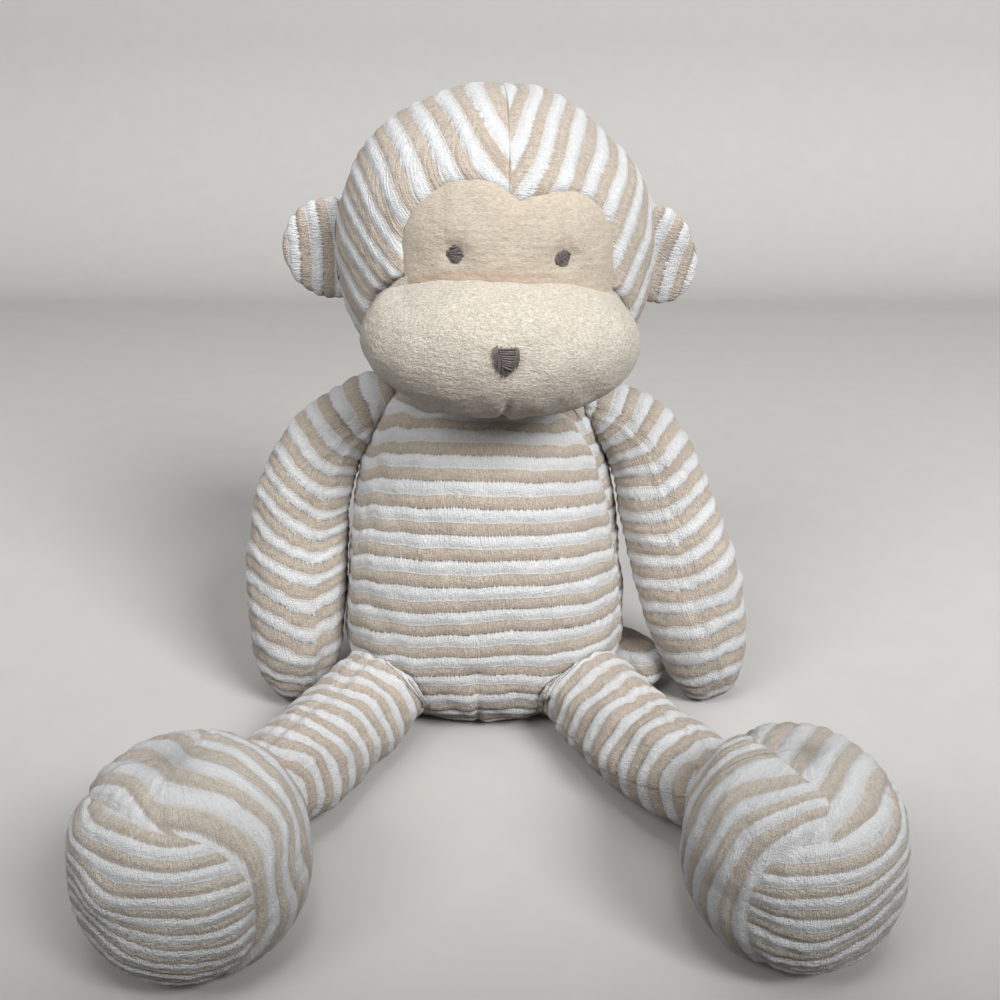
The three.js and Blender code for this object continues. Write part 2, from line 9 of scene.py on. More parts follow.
import bpy
import numpy as np
from math import pi, radians
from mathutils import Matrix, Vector


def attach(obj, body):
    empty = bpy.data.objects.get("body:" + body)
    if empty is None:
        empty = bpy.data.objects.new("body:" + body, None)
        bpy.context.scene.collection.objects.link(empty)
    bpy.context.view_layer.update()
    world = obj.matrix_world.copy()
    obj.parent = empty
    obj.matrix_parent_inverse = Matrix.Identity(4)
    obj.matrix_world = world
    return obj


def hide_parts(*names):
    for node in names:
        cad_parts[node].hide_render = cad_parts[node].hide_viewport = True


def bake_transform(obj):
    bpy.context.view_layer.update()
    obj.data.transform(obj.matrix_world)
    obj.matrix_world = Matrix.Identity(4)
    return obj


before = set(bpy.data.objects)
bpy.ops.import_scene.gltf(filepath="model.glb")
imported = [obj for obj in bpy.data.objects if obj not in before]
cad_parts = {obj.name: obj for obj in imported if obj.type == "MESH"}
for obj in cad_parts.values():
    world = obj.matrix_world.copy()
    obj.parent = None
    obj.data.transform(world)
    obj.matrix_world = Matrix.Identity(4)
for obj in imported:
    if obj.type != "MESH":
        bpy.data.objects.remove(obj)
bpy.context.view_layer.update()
MM = 0.001  # one millimetre in metres
print("parts in the frame:", len(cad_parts))

# %% [markdown]
# ## Smooth tables and noise
#
# A toy's pattern is a handful of widths at even places along a part. `smooth_share` reads such a short
# table as a smooth curve. `wavy` is the unevenness that hand filling leaves. Noise from a texture would
# need a mesh first, while a sum of waves can be read anywhere.

# %% Tables and noise
def smooth_share(table, s):
    """Catmull-Rom curve through evenly spaced rows of a table, read at s from 0 to 1."""
    table = np.asarray(table, float)
    last = len(table) - 1
    x = np.clip(s, 0, 1) * last
    i = np.minimum(x.astype(int), last - 1)
    t = x - i
    if table.ndim > 1:
        t = t[..., None]
    a = table[np.maximum(i - 1, 0)]
    b = table[i]
    c = table[i + 1]
    d = table[np.minimum(i + 2, last)]
    return b + 0.5 * t * (c - a + t * (2 * a - 5 * b + 4 * c - d + t * (3 * (b - c) + d - a)))


def bell(x, width):
    """1 at x = 0, falling to 0 within about twice the width on either side."""
    return np.exp(-(x / width) ** 2)


def ramp(x, low, high):
    """0 below low, 1 above high, and a smooth rise between."""
    t = np.clip((x - low) / (high - low), 0, 1)
    return t * t * (3 - 2 * t)


def wavy(points, length, seed, waves=18):
    """Soft noise of about -1 to 1: a sum of plane waves of nearly one length in random directions."""
    random = np.random.default_rng(seed)
    way = random.normal(size=(waves, 3))
    way /= np.linalg.norm(way, axis=1)[:, None]
    way *= (2 * pi / length * random.uniform(0.7, 1.4, waves))[:, None]
    phase = random.uniform(0, 2 * pi, waves)
    return np.sin(points @ way.T + phase).sum(axis=1) / np.sqrt(waves) / 1.2


def unit(rows):
    """Each row divided by its own length."""
    return rows / np.maximum(np.linalg.norm(rows, axis=-1, keepdims=True), 1e-9)

# %% [markdown]
# ## A stuffed part as one form
#
# A filled tube of cloth settles into a round profile that follows its middle line and is blunt at both
# ends. It could be sculpted, but a formula gives the same form each time, and it can tell how far a point
# lies outside it, so that a neighbour can be drawn clear of it.

# %% The form of a stuffed part
class Form:
    """A stuffed part: half widths and half depths along a line, rounded off at both ends.

    With a from -1 at the start to 1 at the end of the line, the profile is an ellipse scaled by
    (1 - |a| ** fullness) ** (1 / fullness). A higher fullness gives blunter ends.
    A place on the skin has two parameters: the turn about the line and u, the share of the skin's
    length from one end to the other.
    """

    PIECES = 400  # the line is kept as this many even pieces
    FARTHEST = 70.0  # no point slides further than this many millimetres

    def __init__(self, line, across, wide, deep, fullness, wide_shares, deep_shares=None):
        deep_shares = deep_shares or wide_shares
        path = smooth_share(line, np.linspace(0, 1, 2 * self.PIECES + 1))
        steps = np.linalg.norm(np.diff(path, axis=0), axis=1)
        run = np.concatenate([[0], np.cumsum(steps)])
        self.length = run[-1]
        s = np.linspace(0, 1, self.PIECES + 1)
        self.line = np.stack([np.interp(s * self.length, run, path[:, k]) for k in range(3)], axis=1)
        self.ahead = unit(np.gradient(self.line, axis=0))
        across = np.asarray(across, float)
        self.wide_way = unit(across - (self.ahead @ across)[:, None] * self.ahead)
        self.deep_way = np.cross(self.ahead, self.wide_way)
        self.wide, self.deep, self.fullness = wide, deep, fullness
        self.wide_shares, self.deep_shares = wide_shares, deep_shares
        h = np.linspace(0, 1, 700)
        a = np.concatenate([h ** fullness - 1, 1 - h[-2::-1] ** fullness])
        radius = 0.5 * (self.half(a, wide, wide_shares) + self.half(a, deep, deep_shares))
        skin = np.hypot(np.diff(a) * self.length / 2, np.diff(radius))
        skin = np.concatenate([[0], np.cumsum(skin)])
        self.skin_length = skin[-1]
        self.a_table, self.u_table = a, skin / skin[-1]

    def half(self, a, size, shares):
        """Half width at the place a along the line."""
        round_off = np.clip(1 - np.abs(a) ** self.fullness, 0, 1) ** (1 / self.fullness)
        return size * smooth_share(shares, (1 + a) / 2) * round_off

    def along(self, table, a):
        """A row of one of the line's tables at the place a."""
        x = np.clip((1 + a) / 2, 0, 1) * self.PIECES
        i = np.minimum(x.astype(int), self.PIECES - 1)
        t = (x - i)[:, None]
        return table[i] * (1 - t) + table[i + 1] * t

    def points(self, turn, u):
        """Skin point = line + wide way * half width * cos(turn) + deep way * half depth * sin(turn)."""
        a = np.interp(u, self.u_table, self.a_table)
        w = self.half(a, self.wide, self.wide_shares) * np.cos(turn)
        d = self.half(a, self.deep, self.deep_shares) * np.sin(turn)
        return (self.along(self.line, a) + unit(self.along(self.wide_way, a)) * w[:, None]
                + unit(self.along(self.deep_way, a)) * d[:, None])

    def gauge(self, p):
        """For a straight form: 1 on the skin, less inside, more outside."""
        q = p - (self.line[0] + self.line[-1]) / 2
        a = q @ self.ahead[0] / (self.length / 2)
        w = self.wide * smooth_share(self.wide_shares, (1 + a) / 2)
        d = self.deep * smooth_share(self.deep_shares, (1 + a) / 2)
        side = np.hypot(q @ self.wide_way[0] / w, q @ self.deep_way[0] / d)
        return (np.abs(a) ** self.fullness + side ** self.fullness) ** (1 / self.fullness)

    def depth(self, p):
        """How far outside the skin a point is in millimetres, negative inside: (gauge - 1) / its slope."""
        slope = np.linalg.norm(self.slope(p), axis=1)
        return (self.gauge(p) - 1) / np.maximum(slope, 1e-6)

    def slope(self, p):
        """The gauge's rise per millimetre along each axis, by central differences."""
        step = 0.05
        ways = np.eye(3) * step
        return np.stack([(self.gauge(p + w) - self.gauge(p - w)) / (2 * step) for w in ways], axis=1)

    def slide_out(self, p, way, gap):
        """Points that are less than gap(point) outside the skin slide along way until they aren't.

        The length of each slide is found by halving its range 20 times.
        """
        p = p.copy()
        near = np.flatnonzero(self.depth(p) < gap(p))
        low, high = np.zeros(len(near)), np.full(len(near), self.FARTHEST)
        for _ in range(20):
            middle = (low + high) / 2
            moved = p[near] + middle[:, None] * way
            out = self.depth(moved) > gap(moved)
            low, high = np.where(out, low, middle), np.where(out, middle, high)
        p[near] += high[:, None] * way
        return p

    def push_out(self, p, gap):
        """Points that are less than gap outside the skin move straight out, in a few steps of up to 6 mm."""
        p = p.copy()
        for _ in range(6):
            near = np.flatnonzero(self.depth(p) < gap)
            if len(near) == 0:
                break
            slope = self.slope(p[near])
            size = np.linalg.norm(slope, axis=1)[:, None]
            lack = gap - self.depth(p[near])[:, None]
            p[near] += slope / np.maximum(size, 1e-6) * np.minimum(lack, 6)
        return p

# %% [markdown]
# ## Meshes
#
# The skin's mesh is a box of squares bent onto the form, with a square cap at each end, so there are no
# poles where faces crowd. Each corner remembers its direction on a ball, from which the turn and u
# can be read again after the mesh has been made finer.

# %% A grid without poles
def quilt(around, rows, cap):
    """Turn, u and squares of a closed grid: 4 * around columns and rows between two square caps."""
    columns = 4 * around
    k = np.arange(columns)
    side_turn = np.radians(-45 + 90 * k / around)
    side_u = cap + (1 - 2 * cap) * np.arange(rows + 1) / rows
    turn = np.tile(side_turn, rows + 1)
    u = np.repeat(side_u, columns)
    inner = around - 1
    x, y = np.meshgrid(np.arange(1, around), np.arange(1, around), indexing="ij")
    x = (2 * x / around - 1).ravel()
    y = (2 * y / around - 1).ravel()
    reach = np.maximum(np.abs(x), np.abs(y))
    safe = np.maximum(reach, 1e-9)
    flat = np.where(np.abs(x) >= np.abs(y), y, x) / safe
    cap_turn = np.select(
        [(x >= np.abs(y)), (y > np.abs(x)), (-x >= np.abs(y))],
        [pi / 4 * flat, pi / 2 - pi / 4 * flat, pi - pi / 4 * y / safe],
        -pi / 2 + pi / 4 * flat)
    turn = np.concatenate([turn, cap_turn, cap_turn])
    u = np.concatenate([u, reach * cap, 1 - reach * cap])
    i, j = np.meshgrid(np.arange(rows), k, indexing="ij")
    one = i * columns + j
    two = i * columns + (j + 1) % columns
    side = np.stack([one, two, two + columns, one + columns], axis=-1).reshape(-1, 4)
    start = (rows + 1) * columns
    squares = [side]
    for end in (0, 1):
        grid = np.zeros((around + 1, around + 1), int)
        grid[1:around, 1:around] = start + end * inner ** 2 + np.arange(inner ** 2).reshape(inner, inner)
        ring = end * rows * columns + k
        n = np.arange(around)
        grid[around, n] = ring[:around]
        grid[around - n, around] = ring[around:2 * around]
        grid[0, around - n] = ring[2 * around:3 * around]
        grid[n, 0] = ring[3 * around:]
        a, b, c, d = grid[:-1, :-1], grid[1:, :-1], grid[1:, 1:], grid[:-1, 1:]
        face = np.stack([a, b, c, d] if end else [a, d, c, b], axis=-1)
        squares.append(face.reshape(-1, 4))
    return turn, u, np.concatenate(squares)


def direction(turn, u):
    """The ball's point for a turn and u: what stays readable when a mesh is made finer."""
    ring = np.sin(pi * u)
    return np.stack([np.cos(turn) * ring, np.sin(turn) * ring, -np.cos(pi * u)], axis=1)

# %% [markdown]
# ## Arrays and meshes
#
# Everything is worked out on whole arrays of corners. These few functions hand the arrays to Blender and
# read them back, because its cloth and its smoothing work on meshes only.

# %% From arrays to meshes and back
def make_mesh(name, points, faces, layers=None):
    """A mesh from whole arrays: corners in millimetres, a list of face arrays, and value layers."""
    mesh = bpy.data.meshes.new(name)
    mesh.vertices.add(len(points))
    mesh.vertices.foreach_set("co", (points * MM).astype(np.float32).ravel())
    loops = np.concatenate([rows.ravel() for rows in faces]).astype(np.int32)
    mesh.loops.add(len(loops))
    mesh.loops.foreach_set("vertex_index", loops)
    sides = np.concatenate([np.full(len(rows), rows.shape[1]) for rows in faces])
    mesh.polygons.add(len(sides))
    mesh.polygons.foreach_set("loop_start", (np.cumsum(sides) - sides).astype(np.int32))
    mesh.polygons.foreach_set("use_smooth", np.ones(len(sides), bool))
    mesh.update(calc_edges=True)
    for label, values in (layers or {}).items():
        kind, field = ("FLOAT", "value") if values.ndim == 1 else ("FLOAT_VECTOR", "vector")
        layer = mesh.attributes.new(label, kind, "POINT")
        layer.data.foreach_set(field, values.astype(np.float32).ravel())
    return mesh


def make_object(name, mesh):
    """An object for a mesh, a lamp or a camera, linked to the scene."""
    obj = bpy.data.objects.new(name, mesh)
    bpy.context.scene.collection.objects.link(obj)
    return obj


def remove(obj):
    """Takes an object and its mesh out of the file again."""
    mesh = obj.data
    bpy.data.objects.remove(obj)
    bpy.data.meshes.remove(mesh)


def read_rows(items, field, size, kind=np.float32):
    """One field of all the items of a mesh, as an array with size values in a row."""
    flat = np.empty(len(items) * (size if kind is np.float32 else 1), kind)
    items.foreach_get(field, flat)
    return flat.reshape(-1, size)


def corner_array(mesh):
    """The mesh's corners in millimetres."""
    return read_rows(mesh.vertices, "co", 3).astype(float) / MM


def out_ways(points, squares):
    """Outward unit vector at each corner: the sum of its faces' diagonal cross products."""
    a, b, c, d = (points[squares[:, k]] for k in (0, 1, 2, -1))
    cross = np.cross(c - a, d - b)
    total = np.zeros_like(points)
    for k in range(squares.shape[1]):
        for axis in range(3):
            total[:, axis] += np.bincount(squares[:, k], cross[:, axis], len(points))
    return unit(total)

# %% [markdown]
# ## Filling a skin
#
# The filling presses evenly on the cloth from inside. The seam can't stretch, so it draws the cloth in
# and small folds run out from it. A short cloth simulation with inside pressure and a seam that shrinks
# gives just that. The move of each corner is capped, so that no part outgrows its pattern.

# %% Cloth under pressure
CLOTH = {"quality": 6, "mass": 0.15, "tension_stiffness": 25, "compression_stiffness": 25,
         "shear_stiffness": 10, "bending_stiffness": 0.3, "use_pressure": True,
         "uniform_pressure_force": 4.0, "vertex_group_shrink": "seam", "shrink_min": 0.0}
FRAMES = 20
SINK = 0.7  # share of a move inwards that is taken back, because the filling resists it


def blow_up(name, points, squares, seam, shrink, most):
    """The corners after some frames of cloth with inside pressure, each moved at most so many mm."""
    obj = make_object(name + " cloth", make_mesh(name, points, [squares]))
    group = obj.vertex_groups.new(name="seam")
    eighths = np.round(seam * 8)
    for weight in np.unique(eighths[eighths > 0]):
        group.add(np.flatnonzero(eighths == weight).tolist(), float(weight / 8), "REPLACE")
    cloth = obj.modifiers.new("cloth", "CLOTH")
    for key, value in {**CLOTH, "shrink_max": shrink}.items():
        setattr(cloth.settings, key, value)
    cloth.settings.effector_weights.gravity = 0
    cloth.collision_settings.use_collision = False
    cloth.point_cache.frame_start = 1
    cloth.point_cache.frame_end = FRAMES
    scene = bpy.context.scene
    for number in range(1, FRAMES + 1):
        scene.frame_set(number)
    shaped = obj.evaluated_get(bpy.context.evaluated_depsgraph_get())
    moved = corner_array(shaped.to_mesh())
    shaped.to_mesh_clear()
    scene.frame_set(1)
    remove(obj)
    shift = moved - points
    shift -= np.median(shift, axis=0)
    out = out_ways(points, squares)
    shift -= SINK * np.minimum((shift * out).sum(axis=1), 0)[:, None] * out
    size = np.linalg.norm(shift, axis=1, keepdims=True)
    print(f"{name} cloth moved by {np.median(size):.2f} mm, at most {size.max():.2f}")
    return points + shift * (np.tanh(size / most) * most / np.maximum(size, 1e-9))


def finer(name, points, squares, ball, levels=2):
    """The smoothed mesh with each square cut in four, levels times, and its turn and u."""
    obj = make_object(name + " rough", make_mesh(name, points, [squares], {"ball": ball}))
    smooth = obj.modifiers.new("smooth", "SUBSURF")
    smooth.levels = smooth.render_levels = levels
    mesh = bpy.data.meshes.new_from_object(obj.evaluated_get(bpy.context.evaluated_depsgraph_get()))
    fine_points, fine_squares = corner_array(mesh), read_rows(mesh.loops, "vertex_index", 4, np.int32)
    way = unit(read_rows(mesh.attributes["ball"].data, "vector", 3).astype(float))
    remove(obj)
    bpy.data.meshes.remove(mesh)
    turn = np.arctan2(way[:, 1], way[:, 0])
    u = np.arccos(np.clip(-way[:, 2], -1, 1)) / pi
    return fine_points, fine_squares, turn, u


def stuffed(name, form, around, rows, cap, seam_of, shrink=0.12, most=2.2, before=None):
    """A filled skin: the form's grid, blown up as cloth and made finer. Gives corners, squares, turn, u.

    seam_of(points, turn, u) is 1 on a seam and 0 away from it. before moves the grid's corners first.
    """
    turn, u, squares = quilt(around, rows, cap)
    points = form.points(turn, u)
    if before is not None:
        points = before(points, turn, u)
    points = blow_up(name, points, squares, seam_of(points, turn, u), shrink, most)
    return finer(name, points, squares, direction(turn, u))

# %% [markdown]
# ## The velour's bands
#
# The velour is knitted in bands of 5 mm: a white one, full and round, and a tan one with fine ribs.
# A sharp groove lies along one edge of each tan band and a soft one along the other. Each skin stores how
# many such pairs a corner is along the cloth, its phase, so the mesh and the finish agree on where a band
# is. On tubes the phase comes from a table of band centres, and on balls from a few points on each band.

# %% Relief of the bands
BAND_PAIR = 9.7  # millimetres of a white and a tan band together, where they aren't stretched
BEYOND = 10  # how many periods a row of band centres is carried on past either end
SLACK = 0.08  # how loosely a phase field follows its points, which smooths their errors


def band_relief(phase, per_mm):
    """Height in millimetres at a phase in periods. per_mm is how fast the phase runs along the skin."""
    f = phase - np.floor(phase)
    per_mm = np.clip(per_mm, 0.03, 0.3)
    soft = bell((f - 0.26) / per_mm, 1.2)
    sharp = bell((f - 0.76) / per_mm, 0.7)
    white = np.maximum(np.cos(2 * pi * f), 0) ** 0.9
    tan = np.maximum(-np.cos(2 * pi * f), 0) ** 0.8
    return 0.55 * white + 0.38 * tan - 0.08 * soft - 0.26 * sharp


def guided(lines, reach=12.0):
    """A phase field through a few lines of bands, given as {phase: [points]}.

    A plane is fitted to all the points, and a soft bump about each point carries what the plane misses:
    phase = way . p + start + sum of weight * exp(-(distance / reach) ** 2).
    """
    where = np.array([p for line in lines.values() for p in line], float)
    value = np.array([k for k, line in lines.items() for _ in line], float)
    flat = np.column_stack([where, np.ones(len(where))])
    plane = np.linalg.lstsq(flat, value, rcond=None)[0]

    def near(p):
        gap = ((p ** 2).sum(axis=1)[:, None] + (where ** 2).sum(axis=1) - 2 * p @ where.T)
        return np.exp(-gap / reach ** 2)

    weight = np.linalg.solve(near(where) + SLACK * np.eye(len(where)), value - flat @ plane)
    return lambda p: p @ plane[:3] + plane[3] + near(p) @ weight


def counted(turns, runs, first, step):
    """Phases from band centres along the skin: one row of runs in millimetres for each turn in degrees.

    The first band of a row has the phase first and the next ones differ by step. Past the ends of a row
    the bands go on evenly, and outside the table the nearest row holds.
    """
    runs, more = np.asarray(runs, float), BEYOND * BAND_PAIR
    rows = np.column_stack([runs[:, 0] - more, runs, runs[:, -1] + more])
    count = runs.shape[1]
    bands = first + step * np.concatenate([[-BEYOND], np.arange(count), [count - 1 + BEYOND]])

    def phase(turn, run):
        at = np.stack([np.interp(run, row, bands) for row in rows])
        place = np.interp(turn, turns, np.arange(len(turns)))
        low = np.minimum(place.astype(int), len(turns) - 2)
        share = ramp(place - low, 0, 1)
        column = np.arange(len(run))
        return at[low, column] * (1 - share) + at[low + 1, column] * share

    return phase


def pace(bands, turn, run):
    """How many periods per millimetre a table of band centres counts at each place."""
    return np.abs(bands(turn, run + 1) - bands(turn, run - 1)) / 2


def phase_speed(phase_of, points, out):
    """How fast a phase field runs along the skin, in periods per millimetre."""
    step = 0.2
    ways = np.eye(3) * step
    slope = np.stack([(phase_of(points + w) - phase_of(points - w)) / (2 * step) for w in ways], axis=1)
    slope -= (slope * out).sum(axis=1, keepdims=True) * out
    return np.linalg.norm(slope, axis=1)

# %% [markdown]
# ## Finishes
#
# Each finish is a small graph of shader nodes. The class below lets the graph be written as sums and
# products. Nothing in it is a picture: all the detail comes from the stored layers and from noise.

# %% Writing shader nodes as sums
class Value:
    """One output of a shader node. Arithmetic on it adds Math nodes."""

    def __init__(self, graph, socket):
        self.graph, self.socket = graph, socket

    def math(self, operation, *others, **settings):
        """The result of a Math node that takes this value first and the others after it."""
        node = self.graph.node("ShaderNodeMath", {"operation": operation, **settings},
                               {k: v for k, v in enumerate((self,) + others)})
        return Value(self.graph, node.outputs[0])

    def __add__(self, other): return self.math("ADD", other)
    def __sub__(self, other): return self.math("SUBTRACT", other)
    def __mul__(self, other): return self.math("MULTIPLY", other)
    def __rmul__(self, other): return self.math("MULTIPLY", other)
    def __neg__(self): return self.math("MULTIPLY", -1.0)
    def __rsub__(self, other): return (-self) + other
    def __gt__(self, other): return self.math("GREATER_THAN", other)

    def fraction(self): return self.math("FRACT")
    def size(self): return self.math("ABSOLUTE")
    def clipped(self): return self.math("MULTIPLY", 1.0, use_clamp=True)

    def range(self, low, high, to_low=0.0, to_high=1.0):
        """Smoothly from to_low at low to to_high at high."""
        node = self.graph.node("ShaderNodeMapRange", {"interpolation_type": "SMOOTHSTEP"},
                               {0: self, 1: low, 2: high, 3: to_low, 4: to_high})
        return Value(self.graph, node.outputs[0])


class Graph:
    """A material and the nodes that make it."""

    def __init__(self, name):
        self.material = bpy.data.materials.new(name)
        self.material.use_nodes = True
        self.tree = self.material.node_tree
        self.tree.nodes.clear()

    def node(self, kind, settings=None, inputs=None):
        """A new node with its settings, and with a link or a number at each of the inputs given."""
        made = self.tree.nodes.new(kind)
        for key, value in (settings or {}).items():
            setattr(made, key, value)
        for key, value in (inputs or {}).items():
            socket = made.inputs[key]
            if isinstance(value, Value):
                self.tree.links.new(value.socket, socket)
            else:
                socket.default_value = value
        return made

    def layer(self, name):
        """A value that the mesh stores at its corners."""
        return Value(self, self.node("ShaderNodeAttribute", {"attribute_name": name}).outputs["Fac"])

    def place(self):
        """The place on the object in metres."""
        return Value(self, self.node("ShaderNodeTexCoord").outputs["Object"])

    def noise(self, scale, detail=2.0, rough=0.5, place=None):
        """Noise around 0, about -0.5 to 0.5, with lumps of 1 / scale metres."""
        inputs = {"Vector": place or self.place(), "Scale": scale, "Detail": detail, "Roughness": rough}
        return Value(self, self.node("ShaderNodeTexNoise", {}, inputs).outputs[0]) - 0.5

    def vector(self, x, y, z):
        node = self.node("ShaderNodeCombineXYZ", {}, {0: x, 1: y, 2: z})
        return Value(self, node.outputs[0])

    def mix(self, factor, a, b):
        """Colour a where factor is 0 and b where it is 1."""
        node = self.node("ShaderNodeMix", {"data_type": "RGBA"}, {0: factor, 6: a, 7: b})
        return Value(self, node.outputs[2])

    def bump(self, height, distance, strength):
        """The skin's normal, tipped as if height stood out by up to distance in metres."""
        inputs = {"Height": height, "Distance": distance, "Strength": strength}
        return Value(self, self.node("ShaderNodeBump", {}, inputs).outputs[0])

    def finish(self, colour, roughness, normal, constants):
        """The graph's material, closed with one shader."""
        inputs = {"Base Color": colour, "Roughness": roughness, "Normal": normal, **constants}
        shader = self.node("ShaderNodeBsdfPrincipled", {}, inputs)
        out = self.node("ShaderNodeOutputMaterial")
        self.tree.links.new(shader.outputs[0], out.inputs[0])
        return self.material


def colour(red, green, blue):
    """A screen colour of 0 to 255 as linear light."""
    c = np.array([red, green, blue]) / 255
    linear = np.where(c <= 0.04045, c / 12.92, ((c + 0.055) / 1.055) ** 2.4)
    return (*[float(v) for v in linear], 1.0)

# %% [markdown]
# ## Striped velour
#
# The stripes could be a plain wave of two colours. Here the edges of each band are ragged where tufts cross
# them, with lines of painted highlight and painted shade along them, and three versions of one graph show the
# pile standing, half brushed and brushed flat. The brushed one is also paler, partly as the brushed pile's
# own tone and partly as painted light for the tops of the feet.

# %% Striped velour
def velour_finish(name, crisp=1.0, pale=0.0):
    """White and tan bands from the stored phase. The pile stands in fine ribs across the bands. A dotted line
    of painted highlight, as where pile tips catch the light, runs along one edge of the tan, and a dotted
    line of painted shade marks the groove along the other. Painted shade also darkens the white towards that
    highlighted edge and the tan towards its groove. Where the pile is brushed flat crisp is less than 1, and
    the third argument lightens both colours: partly the brushed pile's own lighter tone, partly painted light
    that stands in for the light on the tops of the feet."""
    g = Graph(name)
    right, left, upper = g.layer("phase_right"), g.layer("phase_left"), g.layer("phase_upper")
    seam, seam_up = g.layer("seam"), g.layer("seam_up")
    along = g.layer("along")
    on_right, on_upper = seam > 0.0, seam_up > 0.0
    phase = left * (1.0 - on_upper) + upper * on_upper
    phase = phase * (1.0 - on_right) + right * on_right
    comb = g.noise(1.0, 1.0, 0.5, place=g.vector(along * 2.1, phase * 2.6, on_right * 7.0)).range(-0.16, 0.16)
    grain = g.noise(2600.0, 2.0, 0.6)
    pile = g.noise(1300.0, 3.0, 0.65)
    tufts = g.noise(520.0, 2.0, 0.6)
    tone = g.noise(45.0, 2.0)
    ragged = (pile * 0.04 + (comb - 0.5) * 0.022) * crisp + g.noise(260.0, 2.0) * 0.03
    f = (phase + ragged).fraction()
    soft = 0.06 * (1.0 - crisp)
    tan = f.range(0.24 - soft, 0.33 + soft) * f.range(0.735 - soft, 0.77 + soft, 1.0, 0.0)
    # gap marks the groove at the tan's other edge, where painted shade darkens it.
    gap = (f - 0.765).size().range(0.0, 0.06, 1.0, 0.0)
    # tips marks the tan's edge that gets a painted highlight, as where the pile tips catch the light.
    tips = (f - 0.275).size().range(0.0, 0.035, 1.0, 0.0)
    # Painted shade: the white darkens from its middle towards the edge where the tan begins.
    shade = f.range(0.0, 0.24) * f.range(0.24, 0.3, 1.0, 0.0)
    white_mix = grain * 0.9 + pile * 0.9 + tufts * 0.4 + tone * 0.3 + comb * 0.25 - shade * 0.3 + 0.62
    # The third argument makes both colours paler: partly the brushed pile's own tone, partly painted light
    # for the lit tops of the feet.
    white = g.mix(white_mix.clipped(), colour(211 + 16 * pale, 211 + 17 * pale, 211 + 19 * pale),
                  colour(244, 245, 246))
    tan_mix = (comb * 0.3 + grain * 1.3 + pile * 1.1 + tufts * 0.4 + tone * 0.4 + 0.32).clipped()
    tan_colour = g.mix(tan_mix, colour(178 + 20 * pale, 161 + 26 * pale, 145 + 28 * pale),
                       colour(230 + 6 * pale, 220 + 10 * pale, 206 + 14 * pale))
    # Painted shade: the tan darkens towards its edge at the groove.
    tan_colour = g.mix(f.range(0.5, 0.75) * 0.28, tan_colour, colour(168, 148, 130))
    base = g.mix(tan, white, tan_colour)
    # Painted highlight: a dotted light line along the tan's edge.
    shine = (grain * 3.0 + pile * 2.0 + 0.45).clipped()
    base = g.mix(tips * shine * (0.9 * crisp), base, colour(250, 247, 240))
    # Painted shade: a dotted dark line in the groove along the tan's other edge.
    ticks = crisp * (pile * 2.0 + grain * 1.5 + (comb - 0.5) * -1.2 + 0.35).clipped()
    base = g.mix(gap * ticks * 0.75, base, colour(128, 112, 98))
    stitch = seam.size().range(0.1, 0.8, 0.12, 0.0)
    stitch_up = seam_up.size().range(0.1, 0.8, 0.12, 0.0) * (1.0 - on_right)
    sewn = stitch.math("MAXIMUM", stitch_up) * (pile * 2.0 + 0.6).clipped()
    base = g.mix(sewn, base, colour(160, 146, 130))
    banded = (comb - 0.5) * 0.3 + tips * 0.25 - gap * ticks * 0.8
    height = grain * 0.6 + pile * 1.0 + tufts * 0.5 + banded * seam.size().range(0.0, 0.7)
    normal = g.bump(height, 0.0008, 0.85)
    return g.finish(base, pile * 0.1 + 0.88, normal,
                    {"Sheen Weight": 0.25, "Sheen Roughness": 0.5, "Specular IOR Level": 0.1})

# %% [markdown]
# ## Cream plush and thread
#
# The face is of longer, brushed pile that lies in curved clumps. The eyes and the nose are satin thread.

# %% Cream plush and thread
def cream_finish(name, dark, light, lump, stretch, strength, blush):
    """Brushed cream plush: short curved clumps of pile, crossed by thin curved lines of painted highlight.
    stretch lengthens them sideways.
    A layer of the mesh holds how deep the cloth lies in a crease, and there painted shade makes it darker and
    warmer."""
    g = Graph(name)
    here = g.node("ShaderNodeVectorMath", {"operation": "MULTIPLY"}, {0: g.place(), 1: (stretch, 1.0, 1.0)})
    here = Value(g, here.outputs[0])
    curl = g.noise(lump, 1.0, 0.5, place=here)
    # Thin curved lines of painted highlight on the pile clumps, also raised a little in the bump.
    painted_highlight_worms = curl.size().range(0.0, 0.1, 1.0, 0.0)
    strand = g.noise(lump * 2.3, 3.0, 0.65, place=here)
    clump = g.noise(lump * 0.9, 2.0, 0.6)
    tone = g.noise(40.0, 2.0)
    mixed = (painted_highlight_worms * 0.22 + strand * 2.1 + clump * 0.6 + tone * 0.4 + 0.43).clipped()
    base = g.mix(mixed, dark, light)
    base = g.mix(g.noise(26.0, 1.0).range(0.0, 0.3, 0.0, blush), base, colour(198, 172, 152))
    # Painted shade: darker and warmer in the crease between mask and muzzle.
    base = g.mix(g.layer("fold") * 0.4, base, colour(182, 152, 132))
    normal = g.bump(painted_highlight_worms * 0.2 + strand * 1.0 + clump * 0.3, 0.0008, strength)
    return g.finish(base, strand * 0.1 + 0.88, normal,
                    {"Sheen Weight": 0.3, "Sheen Roughness": 0.4, "Specular IOR Level": 0.15})


def thread_finish(name):
    """Brown satin thread: a soft shine along the stitches."""
    g = Graph(name)
    fleck = g.noise(1800.0, 2.0)
    base = g.mix((fleck + 0.5).clipped(), colour(52, 46, 46), colour(132, 121, 117))
    normal = g.bump(fleck, 0.0001, 0.5)
    return g.finish(base, fleck * 0.15 + 0.42, normal, {"Sheen Weight": 0.2, "Specular IOR Level": 0.5})


velour = velour_finish("striped velour")
soft_velour = velour_finish("soft striped velour", 0.6)
